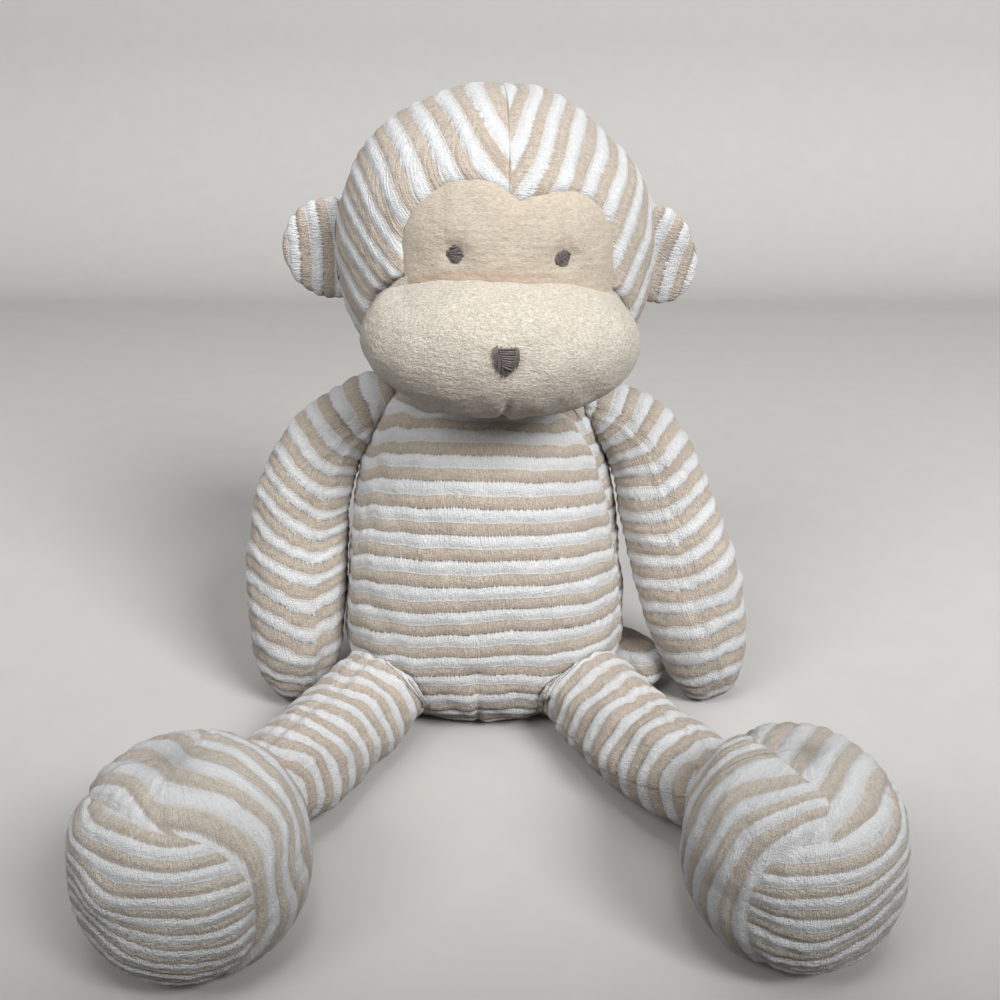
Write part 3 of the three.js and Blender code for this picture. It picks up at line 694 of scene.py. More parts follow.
# The feet's velour is paler: partly brushed pile, partly painted light for the lit tops of the feet.
brushed_velour_with_painted_light = velour_finish("brushed striped velour with painted light", 0.35, 0.6)
mask_plush = cream_finish("mask plush", colour(174, 162, 146), colour(206, 195, 179),
                          lump=900.0, stretch=0.4, strength=0.35, blush=0.4)
muzzle_plush = cream_finish("muzzle plush", colour(170, 161, 147), colour(222, 215, 202),
                            lump=800.0, stretch=0.7, strength=0.6, blush=0.1)
thread = thread_finish("brown satin thread")
print("finishes:", len(bpy.data.materials))

# %% [markdown]
# ## Sewing a striped skin
#
# Every striped part goes through the same steps: bands, seams, puckers, a little unevenness. What
# differs is where the bands run and where the seams are, so each part gives these as arrays. The bands
# stay in the mesh, and not only in the finish, because the outline of the real toy shows them.

# %% One function for all striped skins
def piece(name, points, faces, finish, nodes, layers=None):
    """A finished piece, shown in place of some of the solids."""
    obj = make_object(name, make_mesh(name, points, faces, layers))
    obj.data.materials.append(finish)
    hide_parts(*nodes)
    print(name, sum(len(rows) * (rows.shape[1] - 2) for rows in faces), "triangles")
    return obj


FAR = 50.0  # a seam distance that means there is no such seam
BARE = 0.2  # height in millimetres that the velour keeps beside a seam, where it has no bands
SEAM_NEAR = 0.9  # millimetres from a seam within which the bands flatten
PLEAT = 7.5  # millimetres from one pucker to the next
REST, LOWEST = 2.0, 0.15  # below the first height the table presses a skin flat, towards the second


def sew(name, node_names, points, squares, phases, speeds, seam, along, seed, seam_up=None, place=None,
        extra=0.0, seam_width=1.2, seam_depth=0.4, blend=0.0, fade=0.7, pucker=0.25, uneven=0.4, lump=15,
        fine=0.14, scallop=1.0, finish=velour):
    """A striped piece: each corner of a smooth skin moved out by the bands, seams, puckers and unevenness.

    phases and speeds hold an array for each panel: left of the seam, right of it, and above seam_up where
    that is given. seam and seam_up are millimetres beyond a seam, along is the distance along it, and place
    takes the finished skin to the toy's frame. Within blend of a seam the two reliefs run into each other,
    and close to it they fade.
    """
    if seam_up is None:
        seam_up = np.full(len(points), -FAR)
    out = out_ways(points, squares)
    lower, right, upper = (band_relief(*pair) * scallop for pair in zip(phases, speeds))
    share, share_up = (ramp(d, -blend, blend) if blend else (d > 0) * 1.0 for d in (seam, seam_up))
    relief = (lower * (1 - share_up) + upper * share_up) * (1 - share) + right * share
    near = np.minimum(np.abs(seam), np.where(seam > 0, FAR, np.abs(seam_up)))
    height = BARE + (relief - BARE) * (1 - fade * bell(near, SEAM_NEAR))
    height -= seam_depth * bell(near, seam_width)
    height += pucker * np.sin(along * 2 * pi / PLEAT + wavy(points, 20, seed)) * bell(near - 2.5, 2.5)
    height += uneven * wavy(points, lump, seed + 1) + fine * wavy(points, 4.5, seed + 2) + extra
    shaped = points + out * height[:, None]
    if place is not None:
        shaped = place(shaped)
    z = shaped[:, 2]
    room = REST - LOWEST
    shaped[:, 2] = np.where(z < REST, LOWEST + room * np.exp((z - REST) / room), z)
    layers = {"phase_left": phases[0], "phase_right": phases[1], "phase_upper": phases[2],
              "seam": seam, "seam_up": seam_up, "along": along}
    return piece(name, shaped, [squares], finish, node_names, layers)


def through_fields(fields, points, squares):
    """Phases and speeds at each corner for three phase fields, as sew takes them."""
    out = out_ways(points, squares)
    return [field(points) for field in fields], [phase_speed(field, points, out) for field in fields]

# %% [markdown]
# ## Torso
#
# A blunt upright cushion with a front and a back panel. Its bands are rings that sag a little, so their
# centres are read at every 20 degrees. A short dart below the belly gathers the front panel.

# %% Torso
torso_form = Form([[0, 2, -0.5], [0, 2, 121.5]], (1, 0, 0), 55, 43, 5,
                  [0.93, 1, 0.99, 0.95, 0.9, 0.84, 0.79], [0.9, 1, 1, 0.96, 0.88, 0.78, 0.68])


def torso_side(p):
    """Millimetres behind the side seams, which are further forward on the right: the body turns a little."""
    return p[:, 1] - np.where(p[:, 0] > 0, -8.0, 8.0)


def shoulder(p):
    """Millimetres by which the torso's upper corners stand out, where the arms are sewn on and pull it."""
    side = np.abs(p[:, 0])
    mirrored = np.column_stack([side, p[:, 1:]])
    corner = bell(np.linalg.norm(mirrored - [39, 2, 117], axis=1), 9)
    top = bell(np.linalg.norm(mirrored - [30, -2, 121], axis=1), 8)
    return np.maximum(3.4 * corner, 6.5 * top)


def torso_seam(points, turn, u):
    """1 on the side seams, 0 away from them."""
    return bell(torso_side(points), 4.0)


points, squares, turn, u = stuffed("torso", torso_form, 22, 26, 0.2, torso_seam, shrink=0.06)
torso_bands = counted(
    (-160, -140, -120, -100, -80, -60, -40, -20),
    [(49, 58, 67, 76.5, 86, 96, 106, 116, 125, 135, 144, 155),
     (53, 62, 71, 81, 91, 101, 111.5, 120.5, 130, 140, 149, 159),
     (58.5, 67, 75, 84, 93, 104, 113.5, 123, 132, 142, 151, 162),
     (62, 70, 78, 87, 96, 105, 115, 124, 134, 143, 152, 162),
     (63, 70.5, 79, 89, 97, 106, 115, 124, 133, 143, 152, 162),
     (59.5, 67.5, 77, 87, 96, 104, 114, 122.5, 132, 141, 150, 160),
     (58, 66.5, 75, 84.5, 93, 103, 112, 121, 130, 139, 148, 157.5),
     (57, 66, 73.5, 82.5, 91, 100, 109, 119, 128, 137, 146.5, 155)],
    12.5, -1.0)
run = u * torso_form.skin_length
front_turn = -np.abs(np.degrees(turn))
phase = torso_bands(front_turn, run)
speed = pace(torso_bands, front_turn, run)
dart = bell(points[:, 0] + 2.0, 1.4) * bell(points[:, 2] - 12, 14) * (points[:, 1] < 0)
dimple = bell(np.hypot(points[:, 0] + 2.0, points[:, 2] - 30), 4.5) * (points[:, 1] < 0)
torso = sew("torso", ["torso_front_panel", "torso_back_panel", "torso_stuffing"], points, squares,
            (phase, phase + 0.4, phase), (speed,) * 3, torso_side(points), turn * 48, seed=11,
            seam_depth=0.9, extra=shoulder(points) - 1.3 * dart - 1.6 * dimple)
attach(torso, "torso")

# %% [markdown]
# ## Head
#
# Two front panels meet in a crown seam, and their bands meet there in a chevron. A third panel closes
# the back. The head is shaped in its own upright frame, and then turned and tilted a little into place.

# %% The head's place and its outlines
HEAD_PLACE = np.array([4.6, 4.0, 176.0])
HEAD_HALF = 52.7  # half its height
BACK_SEAM = 18.0  # how far behind the head's middle the back panel begins
TURN, TILT = 0.08, 0.05  # radians about the upright axis and about the forward one
HEAD_TURN = (np.array([[np.cos(TILT), 0, np.sin(TILT)], [0, 1, 0], [-np.sin(TILT), 0, np.cos(TILT)]])
             @ np.array([[np.cos(TURN), -np.sin(TURN), 0], [np.sin(TURN), np.cos(TURN), 0], [0, 0, 1]]))


def from_head(p):
    """Points from the head's own frame to the toy's frame."""
    return p @ HEAD_TURN.T + HEAD_PLACE


head_form = Form([[0, 0, -HEAD_HALF], [0, 0, HEAD_HALF]], (1, 0, 0), 54.4, 50, 2.25, [0.97, 1, 1, 0.98, 0.95])
MASK_EDGE = np.array([(-31.4, -6), (-31.6, 1), (-32.2, 8), (-30.4, 14), (-26, 20), (-19, 25.2), (-11.6, 26.8),
                      (-5.2, 26), (0.2, 23.4), (2.9, 22), (5.6, 22.7), (10, 23.4), (15.5, 24.6), (21.7, 23.8),
                      (28.2, 19.8), (32.1, 13.9), (33.7, 5.5), (34.6, -2), (34, -8)], float)
MUZZLE_BACK, MUZZLE_TIP, MUZZLE_Z = -14, -69, -22.2
MUZZLE_SCALE = 26  # about how many millimetres one unit of its gauge is near its skin
muzzle_form = Form([[-0.4, MUZZLE_BACK, MUZZLE_Z], [-0.4, MUZZLE_TIP, MUZZLE_Z]], (1, 0, 0), 44.6, 24.6, 2.3,
                   [0.96, 1, 1, 0.96, 0.9])


def edge_distance(x, z):
    """Millimetres from the mask's outline, positive inside it, by the nearest of its dense points."""
    s = np.linspace(0, 1, 400)
    edge = smooth_share(MASK_EDGE, s)
    base = np.linspace(edge[-1], edge[0], 60)
    ring = np.concatenate([edge, base])
    gap = np.full(len(x), 1e9)
    inside = np.zeros(len(x), bool)
    ax, az = ring[:, 0], ring[:, 1]
    bx, bz = np.roll(ax, -1), np.roll(az, -1)
    for k in range(len(ring)):
        gap = np.minimum(gap, np.hypot(x - ax[k], z - az[k]))
        crosses = (az[k] > z) != (bz[k] > z)
        with np.errstate(divide="ignore", invalid="ignore"):
            at = ax[k] + (z - az[k]) / (bz[k] - az[k]) * (bx[k] - ax[k])
        inside ^= crosses & (x < at)
    return np.where(inside, gap, -gap)


def muzzle_depth(p):
    """About how many millimetres a point is outside the muzzle's form, negative inside it."""
    return (muzzle_form.gauge(p) - 1) * MUZZLE_SCALE

# %% [markdown]
# ## The head's bands
#
# Each row lists three points on the middle of one white band, from the crown down to the face. The two
# sides differ, since no two panels are cut or stretched alike.

# %% The head's bands
head_left_phase = guided({
    0: [(-10, -14, 50), (-3, -33, 39), (2, -39, 33)],
    -1: [(-18, -15, 47), (-11, -36, 35), (-2, -44, 24)],
    -2: [(-29, -10, 44), (-24, -26, 39), (-18, -40, 27)],
    -3: [(-36, -9, 39), (-29, -33, 28), (-26, -39, 22)],
    -4: [(-43, 1, 32), (-37, -30, 22), (-33, -37, 15)],
    -5: [(-48, 0, 25), (-41, -30, 14), (-33, -40, 5)],
    -6: [(-52, -1, 17), (-43, -31, 5), (-36, -37, -1)],
    -7: [(-54, -2, 9), (-49, -21, 2), (-43, -31, -5)]}, 18.0)
head_right_phase = guided({
    0: [(9, -16, 49), (6, -25, 45), (4, -34, 39)],
    -1: [(16, -17, 47), (12, -31, 40), (4, -45, 24)],
    -2: [(24, -17, 44), (21, -30, 37), (16, -41, 26)],
    -3: [(33, -19, 37), (29, -31, 31), (24, -39, 24)],
    -4: [(40, -16, 32), (32, -36, 20), (30, -39, 16)],
    -5: [(45, -16, 24), (36, -37, 6), (33, -39, 2)],
    -6: [(50, -8, 18), (48, -22, 10), (40, -34, -5)]}, 18.0)

# %% [markdown]
# ## The head's skin
#
# The cloth lies deeper under the mask and the muzzle, with a slight welt round them where it is drawn in,
# and the crown is a little flatter on its right.

# %% Head
def head_seam(points, turn, u):
    """1 on the crown seam and on the back panel's seam, 0 away from them."""
    return np.maximum(bell(points[:, 0], 3.5), bell(points[:, 1] - BACK_SEAM, 3.5)) * (points[:, 2] > -45)


points, squares, turn, u = stuffed("head", head_form, 24, 20, 0.28, head_seam, shrink=0.03, most=1.2)
front = points[:, 1] < 0
mask_in = np.where(front, edge_distance(points[:, 0], points[:, 2]), -FAR)
muzzle_in = np.where(front, -muzzle_depth(points), -FAR)
flatter = (3.0 * bell(np.hypot(points[:, 0] - 33, points[:, 2] - 40), 17)
           + 1.4 * bell(np.hypot(points[:, 0] + 24, points[:, 2] - 45), 12)) * ramp(-mask_in, 0, 8)
under = np.maximum(ramp(mask_in, -0.8, 2.2) * 3.2, ramp(muzzle_in, -2.5, 1.0) * 3.4)
rim = 0.5 * bell(mask_in + 3.0, 2.2) + 0.4 * bell(muzzle_in + 4.0, 2.0)
phases, speeds = through_fields((head_left_phase, head_right_phase, head_left_phase), points, squares)
head = sew("head", ["head_left_panel", "head_right_panel", "head_back_panel", "head_stuffing"],
           points, squares, phases, speeds, points[:, 0],
           np.where(points[:, 0] > 0, 1, -1) * 0.9 * points[:, 1] + points[:, 2] * 0.7,
           extra=rim - under - flatter - 0.5 * bell(points[:, 1] - BACK_SEAM, 1.3), seed=21, place=from_head,
           uneven=0.3, lump=17, fine=0.12, seam_depth=0.05, pucker=0.0, seam_width=0.9, blend=SEAM_NEAR,
           finish=soft_velour, fade=0.1)
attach(head, "head")

# %% [markdown]
# ## Neck
#
# A small wad of filling between torso and head. Both hide it, so it needs no cloth simulation.

# %% Neck
neck_form = Form([[0, 3, 109], [0, 3, 143]], (1, 0, 0), 16.8, 16.8, 2, [1, 1])
turn, u, squares = quilt(8, 8, 0.25)
points, squares, turn, u = finer("neck", neck_form.points(turn, u), squares, direction(turn, u), 1)
phases, speeds = through_fields([lambda p: p[:, 2] / 10] * 3, points, squares)
neck = sew("neck", ["neck_stuffing"], points, squares, phases, speeds, np.full(len(points), -FAR), turn * 17,
           seed=5, uneven=0.0, fine=0.12)
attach(neck, "neck")

# %% [markdown]
# ## Face mask
#
# A cream cushion with two brows and a notch where the crown seam ends. Rings of points run from its
# middle to its outline, so that the rim is smooth and the grid is finest where the padding curves most.

# %% The mask's two sheets
def head_front(x, z):
    """The y of the head's front skin at x and z, in the head's own frame."""
    a = np.clip(z / HEAD_HALF, -1, 1)
    wide, deep = (head_form.half(a, size, head_form.wide_shares) for size in (head_form.wide, head_form.deep))
    return -deep * np.sqrt(np.clip(1 - (x / wide) ** 2, 0.02, 1))


EYES = ((-16.2, 5.8), (16.2, 5.8))
MASK_MIDDLE = np.array([0.0, 8.0])
MASK_COLUMNS, MASK_RINGS = 360, 70


def mask_grid(columns, rings):
    """x and z of rings of points between the middle of the mask's outline and the outline itself."""
    edge = smooth_share(MASK_EDGE, np.linspace(0, 1, columns * 3 // 4))
    base = np.linspace(edge[-1], edge[0], columns - len(edge) + 2)[1:-1]
    reach = np.linspace(0, 1, rings + 1)[1:]
    flat = MASK_MIDDLE + reach[:, None, None] * (np.concatenate([edge, base]) - MASK_MIDDLE)
    return flat.reshape(-1, 2).T


def mask_faces(columns, rings):
    """Squares and triangles of a front sheet, a back sheet, the strip between their rims and two hubs."""
    count = columns * rings
    k = np.arange(columns)
    follows = np.roll(k, -1)
    row = (np.arange(rings - 1) * columns)[:, None]
    sheet = np.stack([row + k, row + follows, row + follows + columns, row + k + columns], axis=-1)
    sheet = sheet.reshape(-1, 4)
    last = (rings - 1) * columns
    rim = np.stack([last + k, last + follows, last + follows + count, last + k + count], axis=-1)
    front_hub = np.stack([np.full(columns, 2 * count), follows, k], axis=-1)
    back_hub = np.stack([np.full(columns, 2 * count + 1), k + count, follows + count], axis=-1)
    return [np.concatenate([sheet, sheet[:, ::-1] + count, rim]), np.concatenate([front_hub, back_hub])]

# %% [markdown]
# ## The mask's padding
#
# The rim is drawn down into the head's skin, the eyes sit in small dimples, and a sharp crease runs down
# to the eye on the right.

# %% Face mask
x, z = mask_grid(MASK_COLUMNS, MASK_RINGS)
inside = np.maximum(edge_distance(x, z), 0)
puff = 1.7 * (1 - np.exp(-inside / 2.4)) - 0.9
puff += 1.0 * bell(np.hypot(x + 16, (z - 13) * 1.2), 10) + 1.0 * bell(np.hypot(x - 15, (z - 12) * 1.2), 9)
puff -= 0.7 * bell(x - 2.0, 3.4) * ramp(z, 2, 16)
for ex, ez in EYES:
    puff -= 1.6 * bell(np.hypot(x - ex, z - ez), 3.6)
puff -= 0.85 * bell(x - 17.2 + 0.1 * (z - 14), 1.5) * ramp(z, 6.5, 10) * ramp(-z, -24, -16)
puff += 0.5 * bell(x - 20.0, 2.4) * ramp(z, 6.5, 10)
puff -= 0.3 * bell(x + 20.5, 1.8) * ramp(z, 8, 13)
puff += 0.07 * wavy(np.stack([x * 0.35, z * 0, z], axis=1), 1.9, 41)
puff += 0.2 * wavy(np.stack([x, z * 0, z], axis=1), 9, 42)
front_face = np.stack([x, head_front(x, z) - puff - 0.4, z], axis=1)
back_face = np.stack([x, head_front(x, z) + 1.35 - 0.05 * np.minimum(inside, 4), z], axis=1)
front_face[:, 1] = np.minimum(front_face[:, 1], back_face[:, 1] - 0.35)
middles = [[0.0, face[:MASK_COLUMNS, 1].mean(), MASK_MIDDLE[1]] for face in (front_face, back_face)]
mask_points = from_head(np.concatenate([front_face, back_face, middles]))
# How deep the mask lies in its crease against the muzzle, strongest under the left eye, where the finish
# paints shade.
fold = bell(np.maximum(muzzle_depth(front_face), 0), 1.1) * (0.3 + 0.7 * ramp(-x, -14, 0) * ramp(x, -32, -24))
face_mask = piece("face_cushion", mask_points, mask_faces(MASK_COLUMNS, MASK_RINGS), mask_plush,
                  ["face_mask"], {"fold": np.concatenate([fold, fold, [0, 0]])})
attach(face_mask, "head")

# %% [markdown]
# ## Muzzle
#
# A wide cream pillow of brushed plush. Its back lies on the head's skin, its upper edge is flattened
# under the eyes, and a dart draws it in below the nose.

# %% Muzzle
def muzzle_seam(points, turn, u):
    """Where the cloth is held in a little: a ring round its middle, and the dart below the nose."""
    return bell(points[:, 1] + 44, 3) * 0.6 + bell(points[:, 0], 2.5) * (points[:, 2] < -34) * 0.6


points, squares, turn, u = stuffed("muzzle", muzzle_form, 22, 14, 0.34, muzzle_seam, shrink=0.05, most=1.2)
out = out_ways(points, squares)
top_flat = ramp(points[:, 2], -12, 4) * (1.8 + 1.2 * bell(points[:, 0], 12))
dart = bell(points[:, 0] - 0.6, 1.2) * ramp(-points[:, 2], 33, 40) * ramp(-points[:, 1], 40, 55)
dent = bell(np.hypot(points[:, 0] + 31, points[:, 2] + 8), 3.5)
height = (-1.7 * dart - 0.8 * dent + 0.35 * wavy(points, 14, 61) + 0.06 * wavy(points, 3.2, 62)
          + 0.07 * wavy(points, 1.9, 63))
shaped = points + out * height[:, None]
shaped[:, 2] -= top_flat * ramp(-points[:, 1], 35, 50)
shaped = head_form.push_out(shaped, 0.2)
muzzle = piece("muzzle", from_head(shaped), [squares], muzzle_plush,
               ["muzzle_panel", "muzzle_stuffing"])
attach(muzzle, "head")

# %% [markdown]
# ## Arms
#
# Each arm is a long sausage that widens towards the hand. Two panels meet down the front, where the
# bands form a chevron. Its root slides out of the torso before the cloth is blown up, so that the two
# skins meet in a crease, as they do where an arm is gathered into the shoulder seam.

# %% Arms
ARM_DROP = [0, 0.03, 0.12, 0.29, 0.49, 0.64, 0.79, 1]
ARM_FORWARD = [0, 0.1, 0.35, 0.6, 0.75, 0.85, 0.95, 1]
ARM_RADIUS = [0.7, 0.77, 0.82, 0.87, 0.92, 0.98, 1, 0.98, 0.92]
ARM_ROUND = 18.0  # mean radius in mm, for distances round the arm


def arm(name, sign, spread, spread_shares, seam_line, outer, inner, seed, lift):
    """One arm: line (sign * (30 + spread * share), 5 - 12 * share, 121 - 120.6 * share).

    seam_line is the front seam as (run, turn) points. outer and inner are band tables, with turns
    counted from the seam. lift raises the root's upper side by so many millimetres.
    """
    s, f, d = (np.array(v) for v in (spread_shares, ARM_FORWARD, ARM_DROP))
    line = np.stack([sign * (30 + spread * s), 5 - 12 * f, 121 - 120.6 * d], axis=1)
    form = Form(line, (1, 0, 0), 18.9, 18.9, 3, ARM_RADIUS)
    seam_run, seam_turn = np.array(seam_line, float).T

    def beyond(turn, u):
        """Radians from the front seam, from -pi to pi, positive towards the outer panel."""
        start = np.radians(np.interp(u * form.skin_length, seam_run, seam_turn))
        return ((turn - start + pi) % (2 * pi) - pi) * -sign

    def seam_weight(points, turn, u):
        return bell(ARM_ROUND * np.sin(beyond(turn, u)), 4.0)

    def gather(points, turn, u):
        """The root drawn clear of the torso."""
        down_out = unit(np.array([sign * 0.93, -0.1, -0.3]))
        return torso_form.slide_out(points, down_out, lambda p: 0.4 + shoulder(p))

    points, squares, turn, u = stuffed(name, form, 9, 34, 0.12, seam_weight, shrink=0.12, before=gather)
    away = beyond(turn, u)
    seam, from_seam = ARM_ROUND * np.sin(away), np.abs(np.degrees(away))
    run = u * form.skin_length
    bands = [counted(table[0], table[1:], -1.5, -1.0) for table in (inner, outer)]
    left, right = (band(from_seam, run) for band in bands)
    slow, fast = (pace(band, from_seam, run) for band in bands)
    raised = lift * bell(np.linalg.norm(points - [sign * 40, 2, 127], axis=1), 10)
    flank = 0.8 * ramp(-sign * np.cos(turn), 0.2, 0.9) * bell(run - 60, 35)
    obj = sew(name, [f"{name}_outer_panel", f"{name}_inner_panel", f"{name}_stuffing"], points, squares,
              (left, right, left), (slow, fast, slow), seam, turn * ARM_ROUND, seed=seed,
              seam_depth=0.25, seam_width=0.9, extra=flank + raised)
    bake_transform(obj)


arm(
    "arm_left", -1, 45, [0, 0.31, 0.63, 0.82, 0.9, 0.95, 0.98, 1],
    [(0, 60), (98, 60), (105, 58.5), (115, 56), (125, 54), (135, 52), (156, 50)],
    [(0, 20, 40, 60, 80),
     (18, 28, 38, 48, 58, 67, 77, 86.5, 97, 109.5, 122, 132),
     (19, 28, 38, 47, 55, 64, 74, 84, 96, 108, 120, 131),
     (19, 29, 37, 45, 53, 61, 71, 82, 92.5, 104.5, 116.5, 129),
     (20, 29, 36, 43, 51, 59, 68, 80, 91, 102.5, 115, 128),
     (20, 29, 36, 42, 49.5, 57.5, 65.5, 76.5, 89, 101, 112.5, 126)],
    [(0, 10, 20, 30),
     (18, 28, 38, 48, 58, 67, 77, 86.5, 96.5, 108, 120, 131),
     (17, 27, 37, 47, 58, 67.5, 77.5, 86, 95, 106, 118, 130),
     (16.5, 26.5, 36, 46, 58, 67, 76, 85.5, 94, 106, 118.5, 130),
     (16, 25.5, 35.5, 46.5, 57, 67, 76.5, 84.5, 93, 105, 118, 130.5)], 71, 5.0)
arm(
    "arm_right", 1, 60, [0, 0.24, 0.47, 0.61, 0.75, 0.84, 0.92, 1],
    [(0, 93), (60, 93), (85, 94.5), (100, 92), (110, 89), (118, 86), (127, 80), (159, 70)],
    [(0, 12, 32, 52),
     (18, 25, 34, 41.5, 49.5, 58, 66.5, 76.5, 87, 98, 108, 119.5, 131, 141),
     (18, 26, 33, 41, 48, 57, 66, 75, 86, 96, 107, 119, 129, 140.5),
     (17.5, 25, 33, 39, 47, 56, 64.5, 74, 84, 95, 107, 118, 130, 141),
     (17, 25, 32.5, 38.5, 45.5, 54.5, 64, 73, 83, 95, 107, 119, 131, 142)],
    [(0, 8, 28, 48),
     (18, 25, 34, 41, 50, 58, 67, 77, 87, 97, 108, 119, 130, 141),
     (17, 25, 34, 41, 50, 58, 67, 77, 87, 97, 108, 119, 130, 141),
     (16, 24, 32, 40, 49, 58, 67, 76, 87, 97, 107.5, 119.5, 131.5, 144),
     (13, 21.5, 30, 38.5, 49, 58, 67, 76, 86, 96.5, 108.5, 120, 133, 144)], 81, 1.0)

# %% [markdown]
# ## Feet
#
# Each foot is a ball of three panels: a sole towards the viewer and two uppers that meet over the
# instep. The three seams come together in one point. The panels are cut apart by planes and one winding
# line, since the eye reads a foot by its seams.

# %% Feet
def foot(name, x, y, wide, sole_lines, inner_lines, outer_lines, front, side, instep, inner_sign, seed):
    """One foot: an upright ball. front and side are the sole's seam planes, as a way and a distance from
    the middle, instep is the winding seam between the uppers as (y, x) points, and the lines guide the bands.
    """
    form = Form([[x, y, -0.5], [x, y, 64.5]], (1, 0, 0), wide, 31, 2.5, [0.96, 1, 1, 0.98, 0.94])
    middle = np.array([x, y, 32.0])

    def sole_side(p):
        """Millimetres beyond the sole's seam, positive on the sole, by its two planes and the inner edge."""
        q = p - middle
        ahead = q @ np.array(front[:3]) - front[3]
        below = q @ np.array(side[:3]) - side[3]
        beside = 10.0 - inner_sign * q[:, 0]
        return np.maximum(ahead, np.minimum(below, beside))

    def inner_side(p):
        """Millimetres beyond the seam over the instep, positive on the inner panel."""
        ys, xs = np.array(instep).T
        return inner_sign * (p[:, 0] - x - np.interp(p[:, 1] - y, ys, xs))

    def field(lines):
        guide = guided(lines)
        return lambda p: guide(p - middle)

    def seam_weight(points, turn, u):
        sole = sole_side(points)
        return np.maximum(bell(sole, 3.5), bell(inner_side(points), 3.5) * (sole < 0))

    points, squares, turn, u = stuffed(name, form, 16, 16, 0.25, seam_weight, shrink=0.06, most=1.5)
    fields = (field(outer_lines), field(sole_lines), field(inner_lines))
    phases, speeds = through_fields(fields, points, squares)
    obj = sew(name, [f"{name}_sole", f"{name}_outer_panel", f"{name}_inner_panel", f"{name}_stuffing"],
              points, squares, phases, speeds, sole_side(points), turn * 30, seam_up=inner_side(points),
              seed=seed, uneven=0.35, lump=17, fine=0.12, seam_depth=0.5, seam_width=1.3, blend=SEAM_NEAR,
              pucker=0.2, finish=brushed_velour_with_painted_light)
    return obj, form


foot_left, foot_left_form = foot(
    "foot_left", -80.2, -131.7, 32.8,
    {0: [(-22, -9, 22), (-17, -16, 22), (-10, -20, 23), (-3, -22, 22), (7, -22, 21)],
     1: [(-25, -12, 16), (-19, -19, 17), (-4, -26, 17), (10, -25, 16), (18, -21, 15)],
     2: [(-28, -12, 11), (-16, -25, 11), (1, -30, 10), (16, -26, 9), (22, -21, 8)],
     3: [(-27, -15, 8), (-15, -27, 5), (2, -31, 4), (17, -26, 4), (23, -22, 4)],
     4: [(-25, -20, 6), (-12, -29, 2), (4, -31, -1), (19, -25, -2), (24, -21, -1)],
     5: [(-20, -24, 2), (-7, -30, -4), (9, -29, -7), (22, -22, -7)]},
    {0: [(2, 9, 31), (14, 5, 29), (24, 0, 22), (31, -5, 10)],
     0.5: [(-1, 7, 31), (13, 1, 29), (26, -4, 20), (30, -11, 5)],
     1: [(-2, 1, 32), (14, -5, 28), (27, -7, 17), (30, -13, 0)],
     1.5: [(2, -7, 31), (18, -9, 25), (27, -11, 15), (28, -16, 0)],
     2: [(-6, -8, 30), (9, -13, 28), (22, -14, 19), (27, -18, -2)],
     2.5: [(-2, -18, 26), (12, -18, 23), (23, -18, 14), (25, -20, -1)]},
    {0: [(-11, -12, 27), (-20, -6, 24)],
     -0.5: [(-26, 3, 19), (-6, -13, 28)],
     -1: [(-24, 6, 21), (-15, -1, 29), (-4, -8, 31)],
     -2: [(-4, 6, 31), (1, -1, 32)]},
    (-0.0, -1.0, 0.0, 21.7), (-0.404, -0.66, -0.634, -2.0),
    [(-23, 9), (-20, 1.2), (-14.4, -3.3), (-7.8, -1.5), (1.4, 1.3), (11, 2.6)], 1, 91)
foot_right, foot_right_form = foot(
    "foot_right", 89, -128.2, 31,
    {0: [(17, -11, 24), (12, -18, 23), (7, -22, 22), (-1, -23, 21), (-4, -25, 19)],
     0.5: [(-11, -25, 14), (-4, -26, 16), (5, -26, 17), (13, -23, 18), (22, -9, 21)],
     1: [(-17, -24, 10), (-10, -27, 12), (-2, -28, 13), (7, -27, 14), (15, -23, 15), (22, -15, 16)],
     2: [(-16, -26, 4), (-8, -29, 6), (1, -30, 8), (10, -28, 9), (19, -22, 11), (25, -15, 11)],
     3: [(-18, -25, 0), (-13, -28, 0), (-3, -31, 0), (7, -30, 1), (15, -27, 5), (21, -22, 7)],
     4: [(-10, -28, -8), (-1, -30, -7), (8, -30, -4), (14, -27, -1)],
     5: [(-10, -25, -15), (-3, -27, -15), (4, -28, -13)]},
    {0: [(-27, -6, 15), (-24, -4, 20), (-14, -4, 28), (-9, -4, 30)],
     1: [(-26, -14, 9), (-19, -13, 21), (-7, -14, 28), (-2, -14, 29)],
     2: [(-25, -18, 3), (-19, -18, 17), (-5, -17, 26), (-1, -16, 28)]},
    {0: [(9, 4, 30), (2, -6, 31), (-3, -12, 29)],
     1: [(21, 7, 23), (11, -8, 29), (4, -18, 26)],
     1.5: [(6, -21, 23), (10, -19, 23), (14, -13, 25), (20, -3, 24)]},
    (0.0, -1.0, 0.0, 24.3), (0.433, -0.392, -0.812, -7.0),
    [(-25.1, -5), (-18.3, 2.1), (-15.1, 1.2), (-10.7, -3.3), (-4.5, -6.6), (1.6, -8.9), (7.4, -11.8)], -1, 95)

# %% [markdown]
# ## Legs
#
# A leg is a soft tube that lies on the table, and crumples on its way to the foot. Its bands are rings,
# pulled in so strongly that the outline is scalloped. Both ends slide clear of the torso and the foot.

# %% Legs
LEG_RADIUS = [0.98, 1, 0.98, 0.98, 0.98, 0.9]
LEG_FORWARD = [0, 0.2, 0.41, 0.61, 0.8, 1]
LEG_RISE = [0, 0, 0.02, 0.1, 0.4, 1]
LEG_ROUND = 17.5  # mean radius in mm, for distances round the leg


